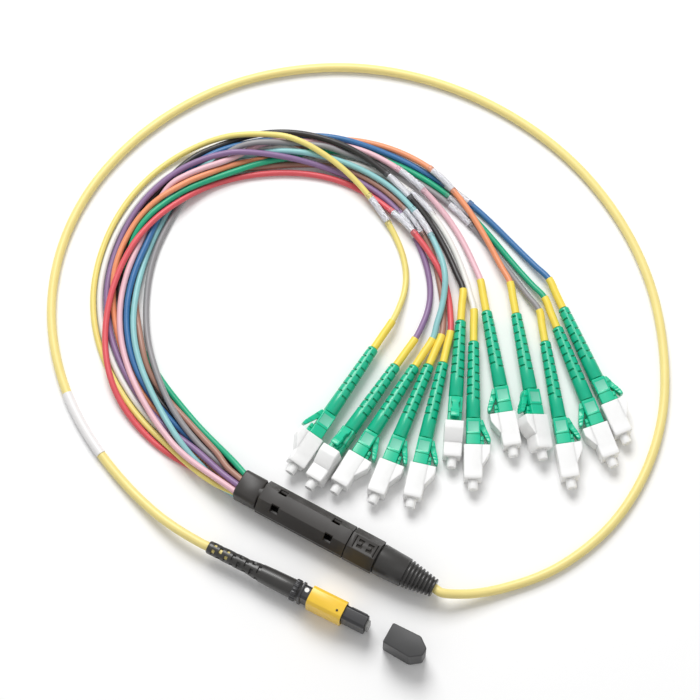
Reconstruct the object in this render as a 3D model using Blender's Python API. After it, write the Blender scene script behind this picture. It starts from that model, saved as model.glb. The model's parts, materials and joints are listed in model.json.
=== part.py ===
"""Fibre breakout cable: a multi-fibre plug on a yellow trunk cord, a black breakout housing, and
twelve coloured legs that end in green small-form connectors under white dust caps.

The origin is the centre of the flat underside of the breakout housing. +X runs along the housing
towards the trunk, and +Z is up. The whole cord lies on the floor at z = 0.
"""

import math

import bmesh
import bpy
import numpy as np
from mathutils import Euler, Matrix, Vector

MM = 0.001
SEAT_GAP = 0.3 * MM          # gap between pieces that touch

# Cords
TRUNK_DIAMETER = 3.0 * MM
LEG_DIAMETER = 2.0 * MM
LEG_CLEARANCE = 0.18 * MM    # least air between two legs of the bundle
CORD_BEVEL_RESOLUTION = 2
TRUNK_STEP = 7.4 * MM        # spacing of the points on the trunk
TRUNK_LEAD = 3.0 * MM        # straight end of the trunk at each of its pieces
LEG_STEP = 5.8 * MM          # spacing of the points on a leg

# Breakout housing
HOUSING_WIDTH = 10.8 * MM
HOUSING_HEIGHT = 11.0 * MM
HOUSING_FLAT = 5.0 * MM      # width of the flat top and of the flat underside
HOUSING_SIDE = 2.6 * MM      # height of the upright sides
SHELL_LENGTH = 31.1 * MM
COLLAR_LENGTH = 9.8 * MM
SHELL_WALL = 1.6 * MM
WINDOW_LENGTH = 2.6 * MM
WINDOW_WIDTH = 2.0 * MM
WINDOW_DEPTH = 2.6 * MM      # down from the flat top, into the hollow
WINDOW_PITCH = 19.0 * MM     # from one latch window to the next along the shell
INLET_LENGTH = 8.0 * MM
INLET_WALL = 0.5 * MM        # rim of the inlet cap outside the legs
INLET_CORNER = 1.6 * MM
RELIEF_LENGTH = 19.6 * MM
RELIEF_PLAIN = 9.6 * MM      # smooth part of the strain relief
RELIEF_ROOT_RADIUS = 5.1 * MM
RELIEF_TIP_RADIUS = 3.0 * MM
RELIEF_RIBS = 7
RIB_DEPTH = 0.55 * MM

# Multi-fibre plug, which stands on its narrow side
PLUG_FRONT = (27.8 * MM, -20.45 * MM)
PLUG_HEADING = math.radians(2.0)
BOOT_LENGTH = 32.1 * MM
BOOT_TAIL_RADIUS = 2.1 * MM
BOOT_ROOT_RADIUS = 3.2 * MM
CRIMP_LENGTH = 3.5 * MM
CRIMP_WIDTH = 6.2 * MM
CRIMP_HEIGHT = 9.4 * MM
CRIMP_FLANGE = 0.8 * MM      # rear of the crimp body, behind the neck that the coupling sleeve slides over
PLUG_LENGTH = 18.9 * MM      # inner plug housing, from the crimp body to its front
PLUG_WIDTH = 4.7 * MM
PLUG_HEIGHT = 8.6 * MM
COUPLING_LENGTH = 11.7 * MM
COUPLING_WIDTH = 6.8 * MM
COUPLING_HEIGHT = 10.6 * MM
COUPLING_TRAVEL = 2.2 * MM
COUPLING_FIT = 0.35 * MM     # running clearance of the coupling sleeve on the plug
KEY_LENGTH = 6.4 * MM
KEY_WIDTH = 2.6 * MM
KEY_RISE = 0.7 * MM
FERRULE_WIDTH = 2.5 * MM
FERRULE_HEIGHT = 6.4 * MM
FERRULE_LENGTH = 8.0 * MM
FERRULE_REACH = 0.9 * MM     # how far the ferrule stands out of the plug
PIN_HOLE_DIAMETER = 0.7 * MM
PIN_HOLE_SPACING = 4.6 * MM
PIN_HOLE_DEPTH = 2.5 * MM

# Dust cap of the multi-fibre plug, lying in front of it
DUST_CAP_REAR = (35.2 * MM, -20.25 * MM)
DUST_CAP_WALL = 0.8 * MM
DUST_CAP_FIT = 0.3 * MM
DUST_CAP_FLARE = 0.35 * MM
DUST_CAP_SHOULDER = 9.5 * MM
DUST_CAP_NOSE = 3.3 * MM
DUST_CAP_NOSE_WIDTH = 2.6 * MM
DUST_CAP_SOCKET = 8.6 * MM

# Small-form connector
LC_BOOT_LENGTH = 26.0 * MM
LC_BOOT_TAIL_RADIUS = 1.75 * MM
LC_BOOT_ROOT_RADIUS = 2.35 * MM
LC_BODY_SIZE = 4.5 * MM
LC_BODY_LENGTH = 16.6 * MM
LC_BODY_BEVEL = 0.35 * MM
LC_LATCH_WIDTH = 2.8 * MM
LC_LATCH_THICKNESS = 0.9 * MM
LC_TRIGGER_RISE = 3.3 * MM   # top of the trigger above the body
LC_TRIGGER_REACH = 7.6 * MM  # from the back of the body to the trigger's tip
LC_CAP_SIZE = 6.1 * MM
LC_CAP_LENGTH = 11.1 * MM
LC_CAP_BEVEL = 0.5 * MM
LC_CAP_START = 9.0 * MM      # from the back of the body to the back of the cap
LC_CAP_FIT = 0.3 * MM
LC_HOOD_RISE = 2.3 * MM      # hood of the cap over the latch, above the cap's side
LC_HOOD_LENGTH = 4.5 * MM
LC_HOOD_WALL = 0.6 * MM
LC_NUB_RADIUS = 1.6 * MM
LC_NUB_LENGTH = 3.1 * MM

# Colour name, base colour, and the connector that the leg ends in: the place of the boot's tail,
# its heading in the plan and the roll of its latch from straight up, both in degrees.
LEGS = {
    "yellow": ((0.86, 0.72, 0.18), (-14.2, 60.5), -93.6, 75),
    "violet": ((0.30, 0.16, 0.45), (-5.2, 58.9), -95.1, 8),
    "aqua": ((0.35, 0.72, 0.75), (0.2, 61.7), -92.5, -90),
    "brown": ((0.20, 0.10, 0.07), (4.0, 64.3), -82.9, -90),
    "red": ((0.78, 0.10, 0.11), (7.6, 67.2), -74.0, -90),
    "black": ((0.03, 0.03, 0.03), (5.8, 82.6), -65.4, 0),
    "white": ((0.85, 0.84, 0.80), (12.8, 78.3), -62.3, -90),
    "rose": ((0.85, 0.50, 0.55), (11.5, 89.5), -52.0, 90),
    "orange": ((0.85, 0.36, 0.14), (20.4, 93.0), -52.4, 62),
    "slate": ((0.36, 0.35, 0.36), (32.9, 89.4), -52.7, -90),
    "green": ((0.03, 0.45, 0.22), (34.1, 95.6), -41.4, 90),
    "blue": ((0.05, 0.20, 0.50), (32.7, 102.5), -38.4, -90),
}

# Trunk route, millimetres, from the strain relief round to the plug's boot
TRUNK_ROUTE = [
    (47.2, 1.3, 4.9), (52.0, 4.5, 3.4), (57.2, 9.5, 2.0), (63.8, 16.2, 1.6), (70.5, 24.6, 1.5),
    (78.8, 43.7, 1.5), (80.9, 65.6, 1.5), (76.6, 87.5, 1.5), (66.6, 107.4, 1.5), (53.4, 124.6, 1.5),
    (37.3, 138.1, 1.5), (19.2, 148.0, 1.5), (0.9, 153.8, 1.5), (-17.7, 156.2, 1.5),
    (-36.1, 155.6, 1.5), (-54.1, 151.9, 1.5), (-71.1, 145.1, 1.5), (-86.9, 134.9, 1.5),
    (-101.0, 121.6, 1.5), (-112.3, 105.0, 1.5), (-120.1, 85.5, 1.5), (-123.4, 64.0, 1.5),
    (-120.7, 41.8, 1.5), (-111.8, 21.2, 1.5), (-97.5, 4.1, 1.5), (-80.3, -8.3, 1.5),
    (-61.7, -16.6, 1.7), (-50.0, -20.0, 2.9), (-42.0, -22.0, 4.7),
]

# Centre line of the bundle of legs in the plan, millimetres, from the inlet cap to the fan-out
SPINE = [
    (-36.0, 1.0), (-43.4, 3.1), (-58.3, 7.0), (-72.6, 14.0), (-84.6, 23.2), (-93.9, 35.4),
    (-99.4, 47.8), (-101.7, 61.2), (-100.9, 75.0), (-97.0, 85.8), (-90.6, 94.0), (-82.3, 101.0),
    (-71.7, 107.7), (-61.0, 111.9), (-50.4, 113.8), (-38.8, 113.1), (-27.9, 110.2), (-17.6, 105.0),
    (-8.0, 98.0), (0.5, 89.8),
]

# Stations along the bundle, millimetres from the inlet cap
STATIONS = [0, 13, 28, 52, 76, 88, 101, 118, 138, 148, 161, 177, 190, 200, 212, 225, 236]

# Each leg's place at each station: steps across the bundle, inwards positive, and layer from the
# floor up, both in pitches of a leg. Several layers cross over each other, as in the loose bundle.
LANES = {
    "green": [(1.5, 3.06), (1.5, 2.7), (1.7, .3), (1.3, 0), (.4, 0), (-.2, .2), (-.3, 1.2), (1.3, 2),
              (2, 1.6), (1, 1.3), (1.2, 1), (-1.6, .2), (-3.2, 0), (-4.6, 0), (-6.6, .5), (-8.9, .8),
              (-10.1, .9)],
    "brown": [(.5, 3.06), (.5, 2.8), (.8, 1.2), (.5, 0), (1.5, 0), (2, 0), (.3, 0), (0, 0), (.3, 0),
              (.5, 0), (.3, 0), (.3, 0), (-.8, 0), (-.9, 0), (-.6, 0), (0, .6), (.9, .9)],
    "violet": [(-.5, 3.06), (-.5, 2.9), (-1.1, 2.3), (-2.5, 1), (-2, .9), (-2.1, 1.1), (-2.1, 1.3),
               (-.5, 2), (.1, 2), (-.3, 2), (.1, 1.9), (.8, 1), (.4, 1), (.7, .2), (1.35, 0), (2, 0),
               (3, .3)],
    "rose": [(-1.5, 3.06), (-1.5, 3), (-2, 2.5), (-1.7, 2), (-.2, 1.3), (.3, 1.1), (.7, 1), (0, .9),
             (.9, 1), (-.9, .8), (-1, .6), (-3, 1.6), (-4.1, 1.8), (-4.5, 2), (-4.8, 1.4), (-5, .8),
             (-4.6, .9)],
    "black": [(1.5, 2.06), (1.5, 1.7), (.7, .1), (-.6, 0), (-.7, 0), (-1.2, 0), (-1.6, .1), (-1.7, 1.2),
              (-2.3, 1.2), (-2.9, 1.1), (-2.7, 1.2), (-2.3, 1.3), (-2.7, 1.5), (-2.9, 1.2), (-2.3, .8),
              (-1.6, .5), (-1.4, .8)],
    "slate": [(.5, 2.06), (.4, 2.1), (0, 2.1), (1.2, 1), (2.2, .7), (2.3, .6), (2.3, .6), (2.1, .3),
              (-.3, 1), (-.7, 1.2), (-1.1, 1.8), (-2.7, .4), (-3.2, .9), (-4, .1), (-5.6, 0),
              (-7.5, 0), (-8.7, .9)],
    "orange": [(-.5, 2.06), (-.5, 1.8), (-.4, .2), (-1.6, 0), (-1, 1.3), (-.9, 1.1), (-1, 1.3),
               (.5, 2), (1.1, 1.9), (0, 1.1), (-1.8, .2), (-3.8, 0), (-5, .4), (-6, 1.2), (-7.2, 1.8),
               (-8.1, 1.9), (-8, .9)],
    "yellow": [(-1.5, 2.06), (-1.7, 2), (-2.6, 1), (-3.3, 0), (-4, 0), (-4.4, 0), (-4.8, 0), (-4.5, 0),
               (-4.6, .5), (-3.7, 1.8), (-2.2, 3), (.1, 2.9), (2.2, 2.2), (3.3, 1), (4, .4), (4.9, .3),
               (6.2, .5)],
    "blue": [(1.5, 1.06), (1, .9), (-1.3, 1.1), (-.8, 1), (.6, 1.1), (1.3, 1.2), (1.5, 1.4), (1, 1),
             (-.9, 2), (-1.8, 2), (-2, 1.2), (-3.3, .6), (-4, .9), (-5.1, .8), (-7.5, .3), (-10.6, .5),
             (-12.3, .9)],
    "white": [(.5, 1.06), (.3, .6), (-1.6, 0), (-2.6, 0), (-3, 0), (-3.4, 0), (-3.4, 0), (-2, 0),
              (-1.9, 0), (-1.6, 0), (-.9, 0), (-.8, 0), (-1.8, 0), (-2.2, 0), (-2.6, 0), (-2.7, .1),
              (-2.5, .6)],
    "red": [(-.5, 1.06), (-1.2, .5), (-3.1, 0), (-4.2, .6), (-2.1, 2.1), (-1, 2.1), (.8, 2.1),
            (2, 1.6), (2.5, .6), (2.1, .5), (2.2, .4), (2.2, .2), (2.3, 0), (1.8, .9), (1.35, 1.1),
            (1, .7), (.3, 0)],
    "aqua": [(-1.5, 1.06), (-1.6, 1.3), (-.3, 1.1), (.2, 1), (1.4, 1), (1.2, .2), (1.2, 0), (1, 0),
             (-.8, 0), (-.5, 0), (-.1, .4), (-1.3, 1.8), (-1.5, 1.5), (-1.8, 1.1), (-1.1, 1.2),
             (-.4, 1.7), (1.1, 1.9)],
}
SETTLE_ROUNDS = 120          # rounds in which the legs of the bundle are laid side by side
SETTLE_STIFFNESS = 0.22
SETTLE_WEIGHT = 0.03         # how far a leg sinks each round, in pitches
LAY_ROUNDS = 400             # rounds in which whole legs are moved clear of each other
LAY_STIFFNESS = 0.12
LAY_WEIGHT = 0.02 * MM
SMOOTHING_PASSES = 7         # rounds that take the corners out of a leg's route
STRAIGHT_TAIL = 11.4 * MM    # straight end of a leg behind its connector, inside its crimp sleeve

LEG_PITCH = LEG_DIAMETER + LEG_CLEARANCE
HOUSING_CENTRE_HEIGHT = HOUSING_HEIGHT / 2
HOUSING_LENGTH = SHELL_LENGTH + SEAT_GAP + COLLAR_LENGTH
SHELL_START = -HOUSING_LENGTH / 2
COLLAR_START = SHELL_START + SHELL_LENGTH + SEAT_GAP
RELIEF_START = COLLAR_START + COLLAR_LENGTH + SEAT_GAP
RELIEF_END = RELIEF_START + RELIEF_LENGTH
INLET_START = SHELL_START - SEAT_GAP - INLET_LENGTH
PLUG_HEIGHT_ABOVE_FLOOR = COUPLING_HEIGHT / 2 + 0.05 * MM


def clear_scene():
    for obj in list(bpy.data.objects):
        bpy.data.objects.remove(obj, do_unlink=True)


def plastic(name, colour, roughness=0.45):
    """A plain moulded plastic."""
    made = bpy.data.materials.new(name)
    made.use_nodes = True
    shader = made.node_tree.nodes["Principled BSDF"]
    shader.inputs["Base Color"].default_value = (*colour, 1.0)
    shader.inputs["Roughness"].default_value = roughness
    shader.inputs["Metallic"].default_value = 0.0
    return made


def add_object(name, mesh, material, matrix=None):
    obj = bpy.data.objects.new(name, mesh)
    bpy.context.scene.collection.objects.link(obj)
    if not mesh.materials:
        mesh.materials.append(material)
    if matrix is not None:
        obj.matrix_world = matrix
    return obj


def mesh_from(bm, name, sharp_degrees=35):
    bmesh.ops.recalc_face_normals(bm, faces=bm.faces)
    mesh = bpy.data.meshes.new(name)
    bm.to_mesh(mesh)
    bm.free()
    mesh.shade_smooth()
    mesh.set_sharp_from_angle(angle=math.radians(sharp_degrees))
    return mesh


def loft(bm, sections):
    """Skins closed outlines of equal point count into one closed body with flat ends."""
    rings = [[bm.verts.new(point) for point in section] for section in sections]
    count = len(rings[0])
    for near, far in zip(rings, rings[1:]):
        for i in range(count):
            j = (i + 1) % count
            bm.faces.new((near[i], near[j], far[j], far[i]))
    bm.faces.new(rings[0])
    bm.faces.new(rings[-1])


def turned(bm, profile, sides):
    """A body turned about X from (x, radius) pairs."""
    loft(bm, [
        [(x, radius * math.cos(2 * math.pi * i / sides), radius * math.sin(2 * math.pi * i / sides))
         for i in range(sides)]
        for x, radius in profile
    ])


def rounded_outline(width, height, corner, steps=1):
    """Points (y, z) of a rectangle whose corners are rounded in so many steps, or cut in one."""
    points = []
    for quarter, (sy, sz) in enumerate([(1, 1), (-1, 1), (-1, -1), (1, -1)]):
        cy = sy * (width / 2 - corner)
        cz = sz * (height / 2 - corner)
        for step in range(steps + 1):
            angle = math.pi / 2 * (quarter + step / steps)
            points.append((cy + corner * math.cos(angle), cz + corner * math.sin(angle)))
    return points


def prism(bm, outline, start, end, centre=(0.0, 0.0)):
    """A bar along X with the outline (y, z) as its section."""
    loft(bm, [[(x, y + centre[0], z + centre[1]) for y, z in outline] for x in (start, end)])


def block(name, low, high):
    """A cutter or a plain box between two corners."""
    bm = bmesh.new()
    bmesh.ops.create_cube(bm, size=1.0)
    size = Vector(high) - Vector(low)
    middle = (Vector(high) + Vector(low)) / 2
    bmesh.ops.transform(bm, matrix=Matrix.Translation(middle) @ Matrix.Diagonal((*size, 1)), verts=bm.verts)
    return mesh_from(bm, name)


def combined(base, tools, operation, name):
    """The mesh of a base after a Boolean with each tool mesh, in one new mesh."""
    body = bpy.data.objects.new(name + "_work", base)
    bpy.context.scene.collection.objects.link(body)
    helpers = []
    for number, tool in enumerate(tools):
        helper = bpy.data.objects.new(f"{name}_tool_{number}", tool)
        bpy.context.scene.collection.objects.link(helper)
        helper.hide_render = True
        helper.display_type = "WIRE"
        helpers.append(helper)
        modifier = body.modifiers.new(helper.name, "BOOLEAN")
        modifier.operation = operation
        modifier.solver = "EXACT"
        modifier.object = helper
    bpy.context.view_layer.update()
    evaluated = body.evaluated_get(bpy.context.evaluated_depsgraph_get())
    made = bpy.data.meshes.new_from_object(evaluated)
    made.name = name
    for obj in [body, *helpers]:
        bpy.data.objects.remove(obj, do_unlink=True)
    made.shade_smooth()
    made.set_sharp_from_angle(angle=math.radians(35))
    return made


def smooth_curve(points, step):
    """Points at equal steps along a Catmull-Rom curve through the given points."""
    given = [Vector(p) for p in points]
    padded = [2 * given[0] - given[1], *given, 2 * given[-1] - given[-2]]
    dense = []
    for a, b, c, d in zip(padded, padded[1:], padded[2:], padded[3:]):
        for i in range(12):
            t = i / 12
            dense.append(0.5 * (2 * b + (c - a) * t + (2 * a - 5 * b + 4 * c - d) * t ** 2
                                + (3 * b - a - 3 * c + d) * t ** 3))
    dense.append(given[-1])
    run = [0.0]
    for a, b in zip(dense, dense[1:]):
        run.append(run[-1] + (b - a).length)
    count = max(2, round(run[-1] / step))
    made = []
    for i in range(count + 1):
        at = run[-1] * i / count
        k = min(max(int(np.searchsorted(run, at)) - 1, 0), len(dense) - 2)
        share = (at - run[k]) / (run[k + 1] - run[k])
        made.append(dense[k].lerp(dense[k + 1], share))
    return made


def cord(name, points, diameter, material):
    """A plain tube through the points, with filled ends."""
    data = bpy.data.curves.new(name, "CURVE")
    data.dimensions = "3D"
    data.bevel_depth = diameter / 2
    data.bevel_resolution = CORD_BEVEL_RESOLUTION
    data.use_fill_caps = True
    spline = data.splines.new("POLY")
    spline.points.add(len(points) - 1)
    for place, point in zip(spline.points, points):
        place.co = (*point, 1.0)
    data.materials.append(material)
    obj = bpy.data.objects.new(name, data)
    bpy.context.scene.collection.objects.link(obj)
    return obj


def housing_outline():
    """Points (y, z) of the eight-sided section of the breakout housing."""
    width, height, flat, side = HOUSING_WIDTH / 2, HOUSING_HEIGHT, HOUSING_FLAT / 2, HOUSING_SIDE / 2
    middle = HOUSING_CENTRE_HEIGHT
    return [(width, middle + side), (flat, height), (-flat, height), (-width, middle + side),
            (-width, middle - side), (-flat, 0.0), (flat, 0.0), (width, middle - side)]


def make_shells(material):
    """The two halves of the breakout housing, hollow, with latch windows in the upper one."""
    part_line = HOUSING_CENTRE_HEIGHT
    start, end = SHELL_START, SHELL_START + SHELL_LENGTH
    width = HOUSING_WIDTH
    for name, low, high in (
        ("breakout_lower_shell", -MM, part_line - SEAT_GAP / 2),
        ("breakout_upper_shell", part_line + SEAT_GAP / 2, HOUSING_HEIGHT + MM),
    ):
        bm = bmesh.new()
        prism(bm, housing_outline(), start, end)
        half = combined(mesh_from(bm, name + "_whole"),
                        [block("half", (start - MM, -width, low), (end + MM, width, high))],
                        "INTERSECT", name + "_half")
        hollow_low = max(low, SHELL_WALL) if low < 0 else low - MM
        hollow_high = min(high, HOUSING_HEIGHT - SHELL_WALL) if low > 0 else high + MM
        hollow_width = (HOUSING_FLAT + WINDOW_WIDTH) / 2 - 0.4 * MM
        cuts = [block("hollow", (start + 2 * SHELL_WALL, -hollow_width, hollow_low),
                      (end - 2 * SHELL_WALL, hollow_width, hollow_high))]
        if low > 0:
            middle = (start + end) / 2
            for along in (middle - WINDOW_PITCH / 2, middle + WINDOW_PITCH / 2):
                for side in (-1, 1):
                    y = side * (HOUSING_FLAT + WINDOW_WIDTH / 2) / 2
                    cuts.append(block(
                        "window",
                        (along - WINDOW_LENGTH / 2, y - WINDOW_WIDTH / 2, HOUSING_HEIGHT - WINDOW_DEPTH),
                        (along + WINDOW_LENGTH / 2, y + WINDOW_WIDTH / 2, HOUSING_HEIGHT + MM),
                    ))
        add_object(name, combined(half, cuts, "DIFFERENCE", name), material)


def make_collar(material):
    bm = bmesh.new()
    prism(bm, housing_outline(), COLLAR_START, COLLAR_START + COLLAR_LENGTH)
    add_object("breakout_collar", mesh_from(bm, "breakout_collar"), material)


def make_inlet(material):
    """The cap that the twelve legs come out of."""
    width = 3 * LEG_PITCH + LEG_DIAMETER + 2 * INLET_WALL
    height = 2 * LEG_PITCH + LEG_DIAMETER + 2 * INLET_WALL
    bm = bmesh.new()
    prism(bm, rounded_outline(width, height, INLET_CORNER, 2), INLET_START,
          INLET_START + INLET_LENGTH, (0.0, HOUSING_CENTRE_HEIGHT))
    add_object("breakout_leg_inlet", mesh_from(bm, "breakout_leg_inlet"), material)


def make_strain_relief(material):
    """Smooth cone, then ribs down to the trunk."""
    ribs_start = RELIEF_START + RELIEF_PLAIN
    rib_pitch = (RELIEF_END - ribs_start) / RELIEF_RIBS
    plain_end_radius = RELIEF_ROOT_RADIUS - 0.35 * MM
    profile = [(RELIEF_START, RELIEF_ROOT_RADIUS), (ribs_start, plain_end_radius)]
    for rib in range(RELIEF_RIBS):
        share = (rib + 1) / RELIEF_RIBS
        radius = plain_end_radius + (RELIEF_TIP_RADIUS - plain_end_radius) * share
        x = ribs_start + rib * rib_pitch
        profile += [(x + 0.05 * rib_pitch, radius - RIB_DEPTH), (x + 0.45 * rib_pitch, radius - RIB_DEPTH),
                    (x + 0.5 * rib_pitch, radius), (x + rib_pitch, radius)]
    bm = bmesh.new()
    turned(bm, profile, 16)
    bmesh.ops.translate(bm, verts=bm.verts, vec=(0, 0, HOUSING_CENTRE_HEIGHT))
    add_object("breakout_strain_relief", mesh_from(bm, "breakout_strain_relief"), material)


def plug_matrix():
    """Places the plug's own frame, whose origin is the centre of its front and whose X points forwards."""
    return (Matrix.Translation((*PLUG_FRONT, PLUG_HEIGHT_ABOVE_FLOOR))
            @ Matrix.Rotation(PLUG_HEADING, 4, "Z"))


PLUG_REAR = -PLUG_LENGTH
CRIMP_START = PLUG_REAR - SEAT_GAP - CRIMP_LENGTH
BOOT_START = CRIMP_START - SEAT_GAP - BOOT_LENGTH
COUPLING_START = CRIMP_START + CRIMP_FLANGE + SEAT_GAP + COUPLING_TRAVEL
COUPLING_END = COUPLING_START + COUPLING_LENGTH


def make_plug(black, yellow, ferrule_plastic):
    """The multi-fibre plug, from its boot to its ferrule."""
    place = plug_matrix()
    bm = bmesh.new()
    turned(bm, [(BOOT_START, BOOT_TAIL_RADIUS), (BOOT_START + 0.45 * BOOT_LENGTH, 0.72 * BOOT_ROOT_RADIUS),
                (BOOT_START + 0.6 * BOOT_LENGTH, 0.92 * BOOT_ROOT_RADIUS),
                (BOOT_START + BOOT_LENGTH, BOOT_ROOT_RADIUS)], 16)
    add_object("mpo_boot", mesh_from(bm, "mpo_boot"), black, place)

    bm = bmesh.new()
    prism(bm, rounded_outline(CRIMP_WIDTH, CRIMP_HEIGHT, 1.8 * MM, 2), CRIMP_START, CRIMP_START + CRIMP_FLANGE)
    neck = bmesh.new()
    prism(neck, rounded_outline(PLUG_WIDTH, PLUG_HEIGHT, 0.8 * MM), CRIMP_START + CRIMP_FLANGE / 2,
          CRIMP_START + CRIMP_LENGTH)
    add_object("mpo_crimp_body", combined(mesh_from(bm, "crimp_flange"), [mesh_from(neck, "crimp_neck")],
                                          "UNION", "mpo_crimp_body"), black, place)

    bm = bmesh.new()
    prism(bm, rounded_outline(PLUG_WIDTH, PLUG_HEIGHT, 0.8 * MM), PLUG_REAR, 0.0)
    key = block("key", (-KEY_LENGTH, PLUG_WIDTH / 2 - MM, -KEY_WIDTH / 2),
                (-0.8 * MM, PLUG_WIDTH / 2 + KEY_RISE, KEY_WIDTH / 2))
    keyed = combined(mesh_from(bm, "plug_bar"), [key], "UNION", "plug_keyed")
    pocket = block("pocket", (FERRULE_REACH - FERRULE_LENGTH - SEAT_GAP, -FERRULE_WIDTH / 2 - SEAT_GAP,
                              -FERRULE_HEIGHT / 2 - SEAT_GAP),
                   (MM, FERRULE_WIDTH / 2 + SEAT_GAP, FERRULE_HEIGHT / 2 + SEAT_GAP))
    add_object("mpo_plug_housing", combined(keyed, [pocket], "DIFFERENCE", "mpo_plug_housing"), black, place)

    bm = bmesh.new()
    prism(bm, rounded_outline(COUPLING_WIDTH, COUPLING_HEIGHT, 2.4 * MM, 3), COUPLING_START, COUPLING_END)
    bore = bmesh.new()
    prism(bore, rounded_outline(PLUG_WIDTH + 2 * COUPLING_FIT, PLUG_HEIGHT + 2 * COUPLING_FIT, 0.8 * MM),
          COUPLING_START - MM, COUPLING_END + MM)
    add_object("mpo_coupling_sleeve", combined(mesh_from(bm, "coupling_bar"), [mesh_from(bore, "bore")],
                                               "DIFFERENCE", "mpo_coupling_sleeve"), yellow, place)

    bm = bmesh.new()
    prism(bm, rounded_outline(FERRULE_WIDTH, FERRULE_HEIGHT, 0.2 * MM), FERRULE_REACH - FERRULE_LENGTH,
          FERRULE_REACH)
    holes = []
    for side in (-1, 1):
        hole = bmesh.new()
        turned(hole, [(FERRULE_REACH - PIN_HOLE_DEPTH, PIN_HOLE_DIAMETER / 2),
                      (FERRULE_REACH + MM, PIN_HOLE_DIAMETER / 2)], 8)
        bmesh.ops.translate(hole, verts=hole.verts, vec=(0, 0, side * PIN_HOLE_SPACING / 2))
        holes.append(mesh_from(hole, "pin_hole"))
    add_object("mpo_ferrule", combined(mesh_from(bm, "ferrule_bar"), holes, "DIFFERENCE", "mpo_ferrule"),
               ferrule_plastic, place)


def make_plug_dust_cap(material):
    """The plug's dust cap, standing on its narrow side with its open end towards the plug."""
    rear = PLUG_WIDTH / 2 + DUST_CAP_FIT + DUST_CAP_WALL
    wide = rear + DUST_CAP_FLARE
    height = PLUG_HEIGHT + 2 * (DUST_CAP_FIT + DUST_CAP_WALL)
    nose = DUST_CAP_SHOULDER + DUST_CAP_NOSE
    plan = [(0, -rear), (DUST_CAP_SHOULDER, -wide), (nose, -DUST_CAP_NOSE_WIDTH / 2),
            (nose, DUST_CAP_NOSE_WIDTH / 2), (DUST_CAP_SHOULDER, wide), (0, rear)]
    bm = bmesh.new()
    loft(bm, [[(x, y, z) for x, y in plan] for z in (0.0, height)])
    socket = block("socket", (-MM, -PLUG_WIDTH / 2 - DUST_CAP_FIT, DUST_CAP_WALL),
                   (DUST_CAP_SOCKET, PLUG_WIDTH / 2 + DUST_CAP_FIT, height - DUST_CAP_WALL))
    made = combined(mesh_from(bm, "dust_cap_solid"), [socket], "DIFFERENCE", "mpo_dust_cap")
    add_object("mpo_dust_cap", made, material, Matrix.Translation((*DUST_CAP_REAR, 0.0)))


LC_BODY_START = LC_BOOT_LENGTH + SEAT_GAP
LC_CAP_REAR = LC_BODY_START + LC_CAP_START


def lc_boot_mesh():
    bm = bmesh.new()
    turned(bm, [(0.0, LC_BOOT_TAIL_RADIUS), (0.64 * LC_BOOT_LENGTH, 0.93 * LC_BOOT_ROOT_RADIUS),
                (LC_BOOT_LENGTH, LC_BOOT_ROOT_RADIUS)], 12)
    return mesh_from(bm, "lc_boot")


def lc_body_mesh():
    """Square body with its latch arm and the trigger that reaches over it, one moulding."""
    half = LC_BODY_SIZE / 2
    bm = bmesh.new()
    prism(bm, rounded_outline(LC_BODY_SIZE, LC_BODY_SIZE, LC_BODY_BEVEL), LC_BODY_START,
          LC_BODY_START + LC_BODY_LENGTH)
    thick = LC_LATCH_THICKNESS
    sunk = half - 0.5 * MM
    tip = LC_BODY_START + LC_TRIGGER_REACH
    top = half + LC_TRIGGER_RISE
    trigger = [(LC_BODY_START + 0.2 * MM, sunk), (LC_BODY_START + 2.4 * MM, sunk),
               (tip, top - thick), (tip, top), (tip - 1.2 * MM, top), (LC_BODY_START + 0.2 * MM, half + 0.7 * MM)]
    root = LC_CAP_REAR + 3.0 * MM
    latch_top = half + LC_CAP_SIZE / 2 - half + LC_HOOD_RISE - LC_HOOD_WALL - 2 * LC_CAP_FIT
    latch_tip = LC_CAP_REAR - 3.2 * MM
    latch = [(latch_tip, latch_top - thick - 0.9 * MM), (root - 1.6 * MM, sunk), (root, sunk),
             (root, half + 0.5 * MM), (root - 1.8 * MM, half + thick + 0.5 * MM),
             (latch_tip, latch_top - 0.9 * MM)]
    tools = []
    for name, outline in (("trigger", trigger), ("latch", latch)):
        tool = bmesh.new()
        loft(tool, [[(x, y, z) for x, z in outline] for y in (-LC_LATCH_WIDTH / 2, LC_LATCH_WIDTH / 2)])
        tools.append(mesh_from(tool, name))
    return combined(mesh_from(bm, "lc_bar"), tools, "UNION", "lc_body")


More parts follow.
